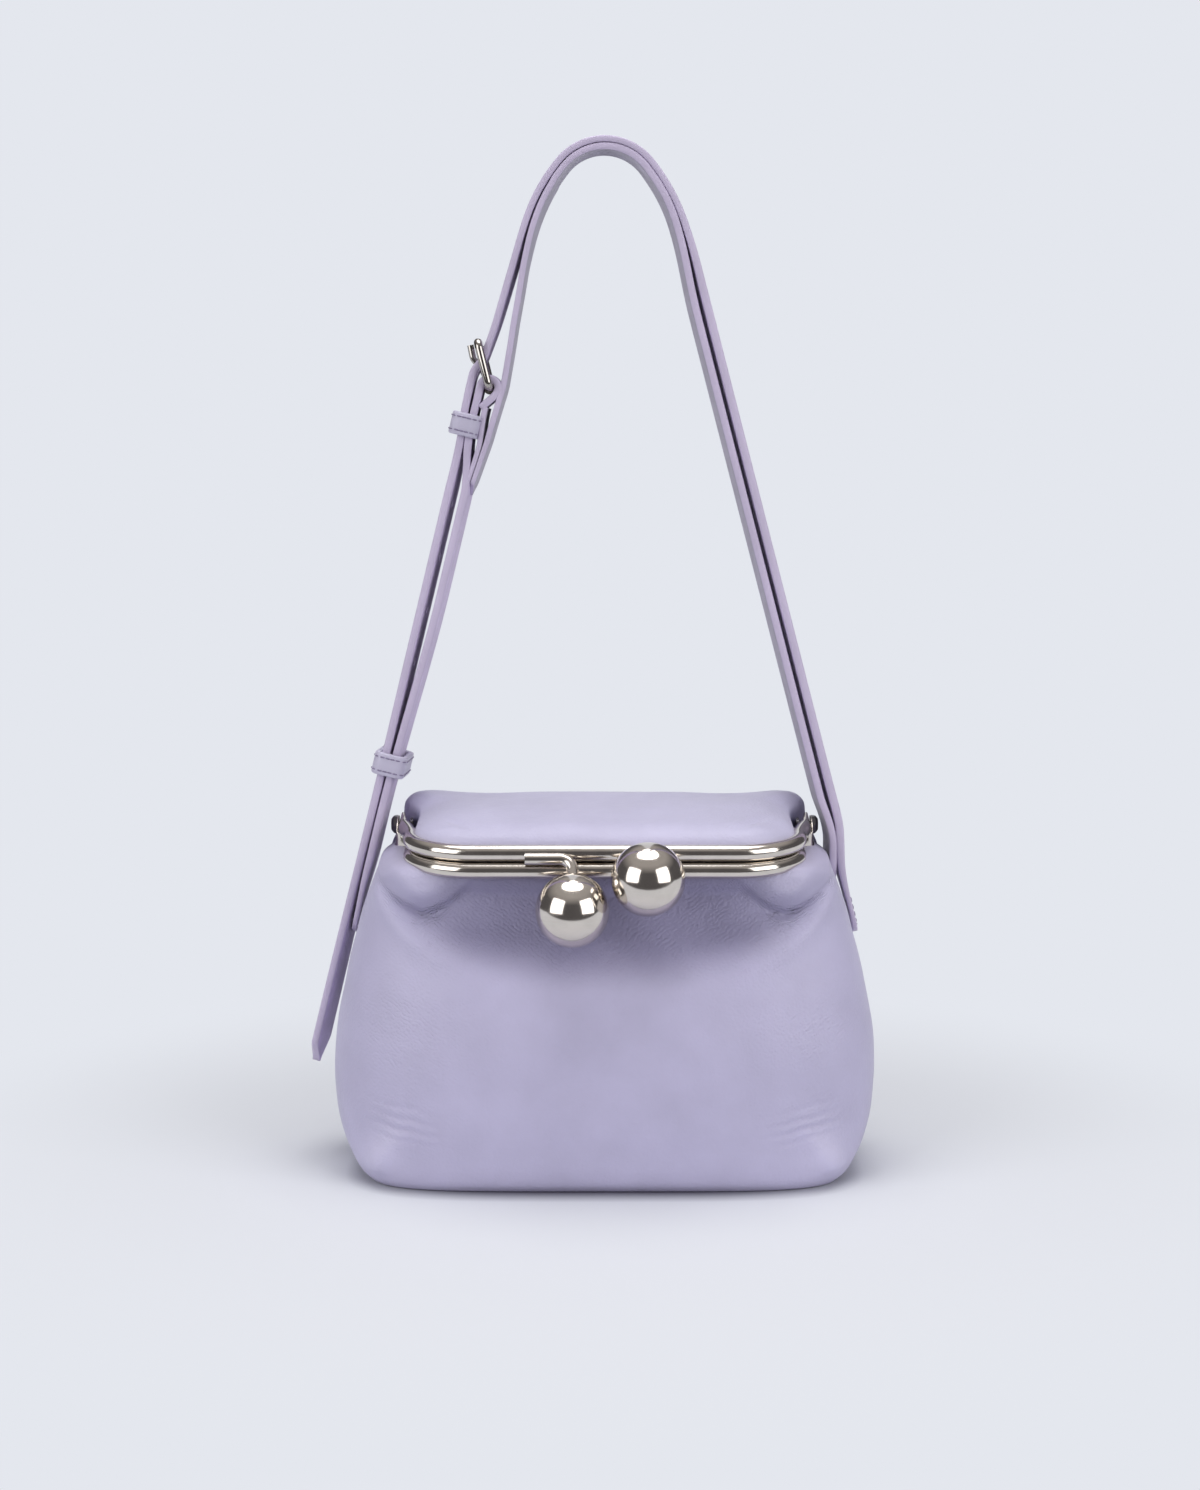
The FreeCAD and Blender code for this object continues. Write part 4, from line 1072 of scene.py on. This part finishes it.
def strap_profile():
    """Cross section points (thickness, width) and the face each span belongs to."""
    half, r = STRAP_THICK / 2.0, STRAP_ROUND
    flat = STRAP_WIDE / 2.0 - r
    across = np.linspace(-1.0, 1.0, FACE_POINTS)
    turn = np.radians([30.0, 60.0, 90.0])
    outer = np.column_stack([FACE_BOW * across**2 - half, across * flat])
    corner = np.column_stack([r - half - r * np.cos(turn), flat + r * np.sin(turn)])
    edge = np.concatenate([corner, [(0.0, flat + r + EDGE_BOW)], corner[::-1] * np.array([-1.0, 1.0])])
    inner = np.column_stack([np.full(FACE_POINTS, half), -across * flat])
    faces, sides = [1] * FACE_POINTS, [2] * len(edge)
    return np.concatenate([outer, edge, inner, -edge]), [0] * FACE_POINTS + sides + faces + sides


def ribbon(name, path, twist, inner_side, tip, round_foot, thick, shift, inner_face):
    """Strap layer along a path, its thickness and its shift to the inner side given at each step."""
    profile, kinds = strap_profile()
    x, z, angle = path.T
    reach = reach_along(path[:, :2])
    left = np.column_stack([-np.sin(angle), np.zeros_like(x), np.cos(angle)]) * inner_side
    tau = np.radians(twist)[:, None]
    e_width = BACKWARD * np.cos(tau) + left * np.sin(tau)
    e_thick = left * np.cos(tau) - BACKWARD * np.sin(tau)
    share = np.ones_like(x)
    if tip:
        share = np.minimum(share, np.maximum(TIP_LEAST, (reach[-1] - reach) / tip))
    if round_foot:
        bend = np.clip(1.0 - reach / round_foot, 0.0, 1.0)
        share = np.minimum(share, np.maximum(FOOT_LEAST, np.sqrt(1.0 - bend**2)))
    middle = np.column_stack([x, np.full_like(x, STRAP_Y), z]) + left * shift[:, None]
    share_thick = (thick / STRAP_THICK)[:, None, None]
    rings = (middle[:, None, :] + profile[None, :, :1] * share_thick * e_thick[:, None, :]
             + profile[None, :, 1:] * (share[:, None, None] * e_width[:, None, :]))
    count = len(profile)
    faces = grid_faces(len(rings), count, True)
    indices = [kinds[c] for _ in range(len(rings) - 1) for c in range(count)]
    faces.append(tuple(range(count)))
    faces.append(tuple(range((len(rings) - 1) * count, len(rings) * count)))
    indices += [2, 2]
    return make_mesh(name, rings, faces, [strap_leather, inner_face, edge_paint], indices)


outer_path = walk(RIGHT_FOOT, 90.0, RIGHT_MOVES + LEFT_MOVES)
tail_at = len(walk(RIGHT_FOOT, 90.0, RIGHT_MOVES + LEFT_MOVES[:-1])) - 1
tail_start = outer_path[tail_at].copy()
crown_z = outer_path[:, 1].max()


def buckle_clear(path):
    """1 along the strap, 0 at the buckle."""
    return 1.0 - bell(np.hypot(path[:, 0] - BAR[0], path[:, 1] - BAR[1]), BUCKLE_NEAR)


def foot_thin(path, thick):
    """Thickness that thins down towards the sewn tab."""
    return TAB_THICK + (thick - TAB_THICK) * ramp(path[:, 1], *TAB_FADE)


def inset_at(path, table):
    """Shift towards the inside of the loop at each step of a path."""
    return soften(read(table, path[:, 1]), 8)


def crown_turn(path):
    """Twist that shows the inner face, less at the very top of the loop."""
    return STRAP_TWIST * ramp(crown_z - path[:, 1], *CROWN_TURN)


outer_line = from_tab(outer_path, 1.0)
tail_line = np.arange(len(outer_line)) >= len(outer_line) - (len(outer_path) - tail_at)
outer_z = outer_line[:, 1]
hang = ramp(LOWER_KEEPER_Z - outer_z, *HANG_FADE)
tail_twist = (STRAP_TWIST + TAIL_TURN + TAIL_TWIST * hang) * ramp(BAR[1] - TAIL_CLEAR - outer_z, *TAIL_FADE)
run_twist = crown_turn(outer_line) * ramp(outer_z, *OUTER_TURN)
run_twist = np.minimum(run_twist, STRAP_TWIST * buckle_clear(outer_line))
outer_twist = np.where(tail_line, tail_twist, run_twist)
on_left = outer_line[:, 0] < 0.0
left_thick = STRAP_THICK + (LOOP_THICK - STRAP_THICK) * ramp(outer_z, *LEFT_THIN)
right_thick = RIGHT_THICK + (LOOP_THICK - RIGHT_THICK) * ramp(outer_z, *RIGHT_THIN)
outer_thick = np.where(on_left, left_thick, foot_thin(outer_line, right_thick))
outer_in = np.where(on_left, inset_at(outer_line, LEFT_IN), inset_at(outer_line, RIGHT_IN))
long_strap = ribbon("long_strap_leather", outer_line, outer_twist, 1.0, LONG_TIP, FOOT_ROUND, outer_thick,
                    outer_in, lit_nap)
hole_tool = bmesh.new()
tail_x, tail_z, tail_angle = tail_start
hole_turn = Matrix.Rotation(math.pi - tail_angle, 4, "Y")
for i in range(TAIL_HOLES):
    run = HOLE_FIRST + i * HOLE_STEP
    spot = Vector((tail_x + run * math.cos(tail_angle), STRAP_Y, tail_z + run * math.sin(tail_angle)))
    bmesh.ops.create_cone(hole_tool, cap_ends=True, segments=24, radius1=HOLE_R * MM, radius2=HOLE_R * MM,
                          depth=HOLE_LONG * MM, matrix=Matrix.Translation(spot * MM) @ hole_turn)
hole_mesh = bpy.data.meshes.new("holes")
hole_tool.to_mesh(hole_mesh)
hole_tool.free()
holes = in_scene("holes", hole_mesh)
punch = long_strap.modifiers.new("punch", "BOOLEAN")
punch.object = holes
punch.operation = "DIFFERENCE"
apply_modifiers(long_strap)
bpy.data.objects.remove(holes)
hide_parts("long_strap", "right_strap_tab")
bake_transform(long_strap)

turned = walk(RIGHT_FOOT, 90.0, RIGHT_MOVES[:2])[-1]
inner_start = (turned[0] - LAYER_STEP * math.sin(turned[2]), turned[1] + LAYER_STEP * math.cos(turned[2]))
foot_start = (RIGHT_FOOT[0] - LAYER_STEP, RIGHT_FOOT[1] + RIGHT_MOVES[0][0] - UNDER_FOOT_RUN)
foot_line = walk(foot_start, 90.0, [(UNDER_FOOT_RUN,), (RIGHT_MOVES[1][0] - LAYER_STEP, RIGHT_MOVES[1][1])])
under_line = np.concatenate([foot_line[:-1], walk(inner_start, 90.0 + RIGHT_MOVES[1][1], UNDER_MOVES)])
under_left = under_line[:, 0] < UNDER_LEFT_X
reach = reach_along(under_line[:, :2])
to_tip = reach[-1] - reach
right_share = ramp(under_line[:, 0], *CROWN_MIDDLE)
under_full = LOOP_THICK + (STRAP_THICK - LOOP_THICK) * right_share
under_thick = under_full * (TIP_THIN + (1.0 - TIP_THIN) * ramp(to_tip, *TIP_FADE))
opened = ramp(crown_z - under_line[:, 1], *CROWN_FADE) * ramp(under_line[:, 1], *FOOT_FADE)
opened *= LAYER_OPEN * buckle_clear(under_line)
under_in = np.where(under_left, inset_at(under_line, UNDER_LEFT_IN), opened)
left_share = 0.5 + 0.5 * ramp(under_line[:, 1], *UNDER_TURN)
under_twist = crown_turn(under_line) * np.where(under_left, left_share, 1.0)
under_strap = ribbon("under_strap_leather", under_line, under_twist, 1.0, UNDER_TIP, FOOT_ROUND, under_thick,
                     under_in, suede)
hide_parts("under_strap")
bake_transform(under_strap)

back_from = np.searchsorted(-to_tip, -RETURN_LONG)
return_line = under_line[back_from:]
return_thick = under_thick[back_from:] * RETURN_THIN
return_in = under_in[back_from:] - (under_thick[back_from:] + return_thick) / 2.0 - RETURN_GAP
return_in -= RETURN_LEAN * ramp(to_tip[back_from:], RETURN_BEND, RETURN_LONG)
return_twist = under_twist[back_from:]
return_ply = ribbon("under_strap_return", return_line, return_twist, 1.0, UNDER_TIP, 0.0, return_thick,
                    return_in, suede)
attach(return_ply, "strap")

lean = tail_angle - math.pi
line_x = tail_x - LAYER_STEP * math.sin(tail_angle)
line_z = tail_z + LAYER_STEP * math.cos(tail_angle)
along = (BAR[0] - line_x) * math.cos(lean) + (BAR[1] - line_z) * math.sin(lean)
top = (line_x + along * math.cos(lean), line_z + along * math.sin(lean))
rise = (top[1] - RIGHT_FOOT[1]) / math.sin(lean)
buckle_foot = (top[0] - rise * math.cos(lean), RIGHT_FOOT[1])
buckle_path = walk(buckle_foot, math.degrees(lean), [(rise,)] + FOLD_MOVES)
buckle_line = from_tab(buckle_path, -1.0)
buckle_z = buckle_line[:, 1]
buckle_thick = foot_thin(buckle_line, STRAP_THICK)
bow = ramp(UPPER_KEEPER_Z - buckle_z, *BOW_TOP) * ramp(buckle_z - LOWER_KEEPER_Z, *BOW_LOW)
buckle_in = BUCKLE_BOW * bow + BUCKLE_IN * band(buckle_z, TAB_FADE, BUCKLE_FADE)
buckle_twist = STRAP_TWIST * ramp(buckle_z, *BUCKLE_TURN) * buckle_clear(buckle_line)
buckle_strap = ribbon("buckle_strap_leather", buckle_line, buckle_twist, -1.0, 0.0, FOOT_ROUND, buckle_thick,
                      buckle_in, lit_nap)
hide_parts("buckle_strap", "left_strap_tab")
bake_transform(buckle_strap)


# Keepers

def rounded_box(half_a, half_b, corner, steps):
    """Outline of a box with rounded corners, and the middles of two of its sides."""
    points = []
    for a, b, begin in ((1, 1, 0), (-1, 1, 90), (-1, -1, 180), (1, -1, 270)):
        for angle in np.radians(np.linspace(begin, begin + 90, steps)):
            points.append((a * (half_a - corner) + corner * math.cos(angle),
                           b * (half_b - corner) + corner * math.sin(angle)))
        if a == b:
            points.append((0.0, b * half_b))
    return np.array(points)


def keeper(name, middle, direction, half_thick, half_wide, wall, tall):
    """Leather loop round the strap layers, with two rows of stitches."""
    up = np.array([direction[0], 0.0, direction[1]])
    side = np.array([direction[1], 0.0, -direction[0]])
    tau = math.radians(STRAP_TWIST)
    e_width = BACKWARD * math.cos(tau) + side * math.sin(tau)
    e_thick = side * math.cos(tau) - BACKWARD * math.sin(tau)
    loop = rounded_box(half_thick, half_wide, KEEPER_CORNER, 9)
    closed = np.concatenate([loop, loop[:1]])
    reach = reach_along(closed)
    even = np.linspace(0.0, reach[-1], KEEPER_STEPS, endpoint=False)
    loop = np.stack([np.interp(even, reach, closed[:, i]) for i in range(2)], axis=-1)
    step, out = loop_sides(loop)
    a, b = wall / 2.0, tall / 2.0
    shape = rounded_box(a, b, KEEPER_EDGE, 5)
    shape[:, 0] += np.where(shape[:, 0] > 0, KEEPER_BOW * (1.0 - (shape[:, 1] / b) ** 2), 0.0)
    spots = loop[:, None, :] + out[:, None, :] * shape[None, :, :1]
    points = (middle + spots[..., :1] * e_thick + spots[..., 1:] * e_width
              + shape[None, :, 1:] * up)
    count = len(shape)
    faces = grid_faces(len(points), count, True)
    last = (len(points) - 1) * count
    faces += [(last + c, last + (c + 1) % count, (c + 1) % count, c) for c in range(count)]
    piece = make_mesh(name, points, faces, [keeper_leather])
    rows = []
    surface = (loop + out * (a + KEEPER_RISE))[::KEEPER_EACH]
    aims = step[::KEEPER_EACH, :1] * e_thick + step[::KEEPER_EACH, 1:] * e_width
    for share in KEEPER_ROWS:
        row = middle + surface[:, :1] * e_thick + surface[:, 1:] * e_width + share * tall * up
        rows += list(zip(row, aims))
    return piece, rows


def stitches(name, rows, length, radius):
    """Short rounded threads at given places and directions."""
    points, faces = [], []
    for place, aim in rows:
        aim = unit(aim)
        first = unit(np.cross(aim, BACKWARD if abs(aim[1]) < 0.8 else np.array([1.0, 0.0, 0.0])))
        second = np.cross(aim, first)
        start = len(points)
        for share, size in STITCH_SHAPE:
            for turn in np.linspace(0.0, 2.0 * math.pi, STITCH_SIDES, endpoint=False):
                points.append(place + aim * (share * length)
                              + (first * math.cos(turn) + second * math.sin(turn)) * radius * size)
        faces += [tuple(start + v for v in f) for f in grid_faces(len(STITCH_SHAPE), STITCH_SIDES, True)]
        last = len(points) - STITCH_SIDES
        faces += [tuple(range(first_end, first_end + STITCH_SIDES)) for first_end in (start, last)]
    return make_mesh(name, np.array(points), faces, [thread])


def stitch_row(line):
    """Places and directions of stitches in even steps along a line."""
    reach = reach_along(line)
    even = np.arange(STITCH_STEP / 2.0, reach[-1], STITCH_STEP)
    spots = np.stack([np.interp(even, reach, line[:, i]) for i in range(3)], axis=-1)
    return list(zip(spots, np.gradient(spots, axis=0)))


seam_out = ramp(SEAM_SHARE, 0.0, 1.0)
seam = rim + (foot - rim) * np.array([seam_out, seam_out, SEAM_SHARE])
seam = seam[rear > SEAM_FROM] * np.array(SEAM_OUT)
seam_stitches = stitches("ridge_seam_stitches", stitch_row(seam), STITCH_LONG, STITCH_R)
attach(seam_stitches, "bag_body")

tab_up = unit(np.array(TAB_HEAD) - np.array(TAB_FOOT))
tab_face = np.array(TAB_FOOT) + np.array([tab_up[1], -tab_up[0]]) * TAB_FACE
tab_line = [(along, -y) for along, y in TAB_BORDER] + TAB_BORDER[-2::-1]
for side, label in ((1.0, "right"), (-1.0, "left")):
    line = []
    for along, y in tab_line:
        spot = tab_face + tab_up * along
        line.append((side * spot[0], STRAP_Y + y, spot[1]))
    tab_stitches = stitches(label + "_tab_stitches", stitch_row(np.array(line)), STITCH_LONG, STITCH_R)
    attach(tab_stitches, "bag_body")

tail_aim = np.array([-math.cos(tail_angle), -math.sin(tail_angle)])
inward = np.array([-math.sin(tail_angle), math.cos(tail_angle)])


def tail_place(z, shift):
    """Point between the tail and the strap below it at a height, shifted to the inside of the loop."""
    spot = tail_start[:2] + tail_aim * (z - tail_z) / tail_aim[1] + inward * (LAYER_STEP / 2.0 + shift)
    return np.array([spot[0], STRAP_Y, spot[1]])


for name, body_name, middle, sizes in (
        ("lower_keeper", "lower_keeper", tail_place(LOWER_KEEPER_Z, KEEPER_SHIFT), LOWER_KEEPER),
        ("upper_keeper", "strap", tail_place(UPPER_KEEPER_Z, 0.0), UPPER_KEEPER)):
    piece, rows = keeper(name + "_leather", middle, tail_aim, *sizes)
    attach(piece, body_name)
    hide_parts(name)
    sewn = stitches(name + "_stitches", rows, *KEEPER_STITCH)
    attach(sewn, body_name)

# Buckle
lean = math.radians(BUCKLE_LEAN)
aim = np.array([-math.sin(lean), 0.0, math.cos(lean)])
facing = np.cross(aim, BACKWARD)
outline = rounded_box(BUCKLE_LONG / 2.0, BUCKLE_HALF, BUCKLE_CORNER, 13)
out = loop_sides(outline)[1]
centre = np.array([BAR[0], STRAP_Y, BAR[1]]) + aim * (BUCKLE_LONG / 2.0)
line = centre + outline[:, :1] * aim + outline[:, 1:] * BACKWARD
sideways = out[:, :1] * aim + out[:, 1:] * BACKWARD
turn = np.linspace(0.0, 2.0 * math.pi, WIRE_SIDES, endpoint=False)[None, :, None]
points = line[:, None, :] + WIRE_R * (np.cos(turn) * sideways[:, None, :] + np.sin(turn) * facing)
points = np.concatenate([points, points[:1]])
wire = make_mesh("buckle_wire", points, grid_faces(len(points), WIRE_SIDES, True), [buckle_nickel])
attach(wire, "buckle")
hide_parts("buckle_frame")


# Frame halves

def frame_half(name, rail_z, hinge_x, hinge_half, ear, splay_y, thin_y, lift_y, node, body_name):
    """Bent tube that flattens into its hinge ears."""
    arm = FRAME_HALF
    bend = FRAME_CORNER
    turn = np.radians(np.linspace(0.0, 90.0, RAIL_STEPS))[1:]
    corner = np.column_stack([arm - bend + bend * np.sin(turn), RAIL_Y + bend - bend * np.cos(turn)])
    rail = np.linspace((0.0, RAIL_Y), (arm - bend, RAIL_Y), RAIL_STEPS)
    side = np.linspace((arm, RAIL_Y + bend), (arm, HINGE_Y + ear * EAR_REACH), SIDE_STEPS)[1:]
    right = np.concatenate([rail, corner, side])
    plan = np.concatenate([right[:0:-1] * np.array([-1.0, 1.0]), right])
    x, y = plan.T
    near = ramp(y, *thin_y)
    flat_z = rail_z + FRAME_SLOPE * (y - RAIL_Y)
    z = flat_z + (HINGE_Z - flat_z) * ramp(y, *lift_y)
    line = np.column_stack([x + np.sign(x) * (hinge_x - arm) * ramp(y, *splay_y), y, z])
    step = unit(np.gradient(line, axis=0))
    up = unit(np.array([0.0, 0.0, 1.0]) - step * step[:, 2:])
    wide = np.cross(step, up)
    half_wide = TUBE_R + (hinge_half - TUBE_R) * near
    half_tall = TUBE_R + (ear - TUBE_R) * ramp(y, EAR_FROM, HINGE_Y)
    half_tall *= np.sqrt(np.clip(1.0 - (np.maximum(y - HINGE_Y, 0.0) / ear) ** 2, EAR_LEAST, 1.0))
    turn = np.linspace(0.0, 2.0 * math.pi, TUBE_SIDES, endpoint=False)
    square = 1.0 - EAR_SQUARE * near[:, None]
    across = power(np.cos(turn)[None, :], square) * half_wide[:, None]
    rise = np.sin(turn)[None, :] * half_tall[:, None]
    points = line[:, None, :] + across[..., None] * wide[:, None, :] + rise[..., None] * up[:, None, :]
    faces = grid_faces(len(points), TUBE_SIDES, True)
    last = (len(points) - 1) * TUBE_SIDES
    faces += [tuple(range(TUBE_SIDES)), tuple(range(last, last + TUBE_SIDES))]
    piece = make_mesh(name, points, faces, [nickel])
    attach(piece, body_name)
    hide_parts(node)


frame_half("upper_frame_tube", UPPER_RAIL_Z, UPPER_EAR_X, UPPER_EAR_HALF, UPPER_EAR_R,
           UPPER_SPLAY, UPPER_THIN, UPPER_LIFT, "upper_frame", "lid")
frame_half("lower_frame_tube", LOWER_RAIL_Z, LOWER_EAR_X, LOWER_EAR_HALF, LOWER_EAR_R,
           LOWER_SPLAY, LOWER_THIN, LOWER_LIFT, "lower_frame", "bag_body")


# World, floor, lights and camera

def picture_rays(tree):
    """1 for rays that show the picture or a reflection of it."""
    rays = tree.add("LightPath", {}).node.outputs
    seen = tree.calc("MAXIMUM", rays["Is Camera Ray"], rays["Is Glossy Ray"])
    return tree.calc("MAXIMUM", seen, rays["Is Transmission Ray"])


background = linear(BACKGROUND)
world = bpy.data.worlds.new("studio")
bpy.context.scene.world = world
tree = Tree(world)
lit = tree.nodes["Background"]
tree.feed(lit, {"Color": (0.98, 0.98, 1.0, 1.0), "Strength": AMBIENT})
seen = tree.add("Background", {"Color": background})
choice = tree.add("MixShader", {"Fac": picture_rays(tree), 1: lit.outputs["Background"], 2: seen})
tree.feed(tree.nodes["World Output"], {"Surface": choice})

# Floor, with a shadow painted darker under the bag, and as bright as the background away from it
material, tree, shader = new_material("floor")
across, deep = [1.0 / (half * MM) for half in PAINTED_SHADOW_HALF]
split = tree.add("SeparateXYZ", {"Vector": tree.place((across, deep, 1.0))}).node.outputs
sides = [tree.calc("POWER", tree.calc("ABSOLUTE", split[axis]), PAINTED_SHADOW_SQUARE) for axis in "XY"]
ring_share = tree.calc("POWER", tree.calc("ADD", *sides), 1.0 / PAINTED_SHADOW_SQUARE)
# Shadow painted into the floor's colour, darkest at the bag's footprint
painted_shadow = tree.spread(ring_share, 0.0, 1.0, *PAINTED_SHADOW_FADE)
tree.feed(shader, {"Base Color": tree.two_colours(painted_shadow, PAINTED_SHADOW_COLOUR, FLOOR_COLOUR),
                   "Roughness": 0.9, "Specular IOR Level": 0.1})
far = tree.vector("LENGTH", tree.add("TexCoord", {}, "Object")).node.outputs["Value"]
ends = {"Value": far, "From Min": FLOOR_FADE[0], "From Max": FLOOR_FADE[1]}
fade = tree.add("MapRange", ends, interpolation_type="SMOOTHSTEP")
glow = tree.add("Emission", {"Color": background})
share = tree.calc("MULTIPLY", fade, picture_rays(tree))
mix = tree.add("MixShader", {"Fac": share, 1: shader.outputs["BSDF"], 2: glow})
tree.feed(tree.nodes["Material Output"], {"Surface": mix})
floor_mesh = bpy.data.meshes.new("floor")
corners = [(-FLOOR_SIZE, -FLOOR_FRONT, 0), (FLOOR_SIZE, -FLOOR_FRONT, 0),
           (FLOOR_SIZE, FLOOR_SIZE, 0), (-FLOOR_SIZE, FLOOR_SIZE, 0)]
floor_mesh.from_pydata(corners, [], [(0, 1, 2, 3)])
floor_mesh.materials.append(material)
floor_piece = in_scene("floor", floor_mesh)
floor_piece.location.z = -FLOOR_DROP


def softbox(name, shape, place, width, tall, power):
    """Soft lamp that faces the bag."""
    lamp = bpy.data.lights.new(name, "AREA")
    lamp.shape = shape
    lamp.size = width
    lamp.size_y = tall
    lamp.energy = power
    piece = in_scene(name, lamp)
    piece.location = place
    piece.rotation_euler = (Vector(LAMP_TARGET) - Vector(place)).to_track_quat("-Z", "Y").to_euler()


softbox("top_box", "ELLIPSE", (0.0, 0.05, 1.5), width=1.25, tall=1.05, power=13.8)
softbox("left_box", "RECTANGLE", (-1.15, -0.98, 0.62), width=1.2, tall=1.15, power=11.8)
softbox("right_box", "RECTANGLE", (1.15, -0.98, 0.62), width=1.15, tall=1.15, power=12.2)

# Dark studio wall round the bag, seen only as reflections
lift = np.radians(np.linspace(*WALL_LIFT, WALL_ROWS))[:, None]
turn = np.radians(np.linspace(*WALL_TURN, WALL_COLUMNS))[None, :]
level = np.cos(lift)
dome = np.stack(np.broadcast_arrays(level * np.cos(turn), level * np.sin(turn), np.sin(lift)), axis=-1)
wall_material, tree, shader = new_material("studio_wall")
tree.nodes.remove(shader)
height = tree.add("SeparateXYZ", {"Vector": tree.add("TexCoord", {}, "Object")}, "Z")
lift_share = tree.spread(height, 0.0, 1.0, first=0.25 * WALL_FAR * MM, last=WALL_FAR * MM)
gloom = tree.add("Emission", {"Color": tree.two_colours(lift_share, WALL_COLOUR, WALL_TOP_COLOUR)})
tree.feed(tree.nodes["Material Output"], {"Surface": gloom})
wall = make_mesh("studio_wall", dome * WALL_FAR, grid_faces(WALL_ROWS, WALL_COLUMNS, False), [wall_material])
for kind in ("camera", "diffuse", "shadow", "transmission"):
    setattr(wall, "visible_" + kind, False)

# Camera
camera = bpy.data.cameras.new("camera")
camera.sensor_width = SENSOR
camera.sensor_fit = "AUTO"
camera.lens = SENSOR * FOCAL_PIXELS / PICTURE_TALL
camera.clip_start = 0.01
viewer = in_scene("camera", camera)
viewer.location = [v * MM for v in CAMERA_AT]
viewer.rotation_euler = (math.radians(90.0 - CAMERA_PITCH), 0.0, 0.0)
bpy.context.scene.camera = viewer
bpy.context.scene.view_settings.view_transform = "Standard"

bpy.context.view_layer.update()
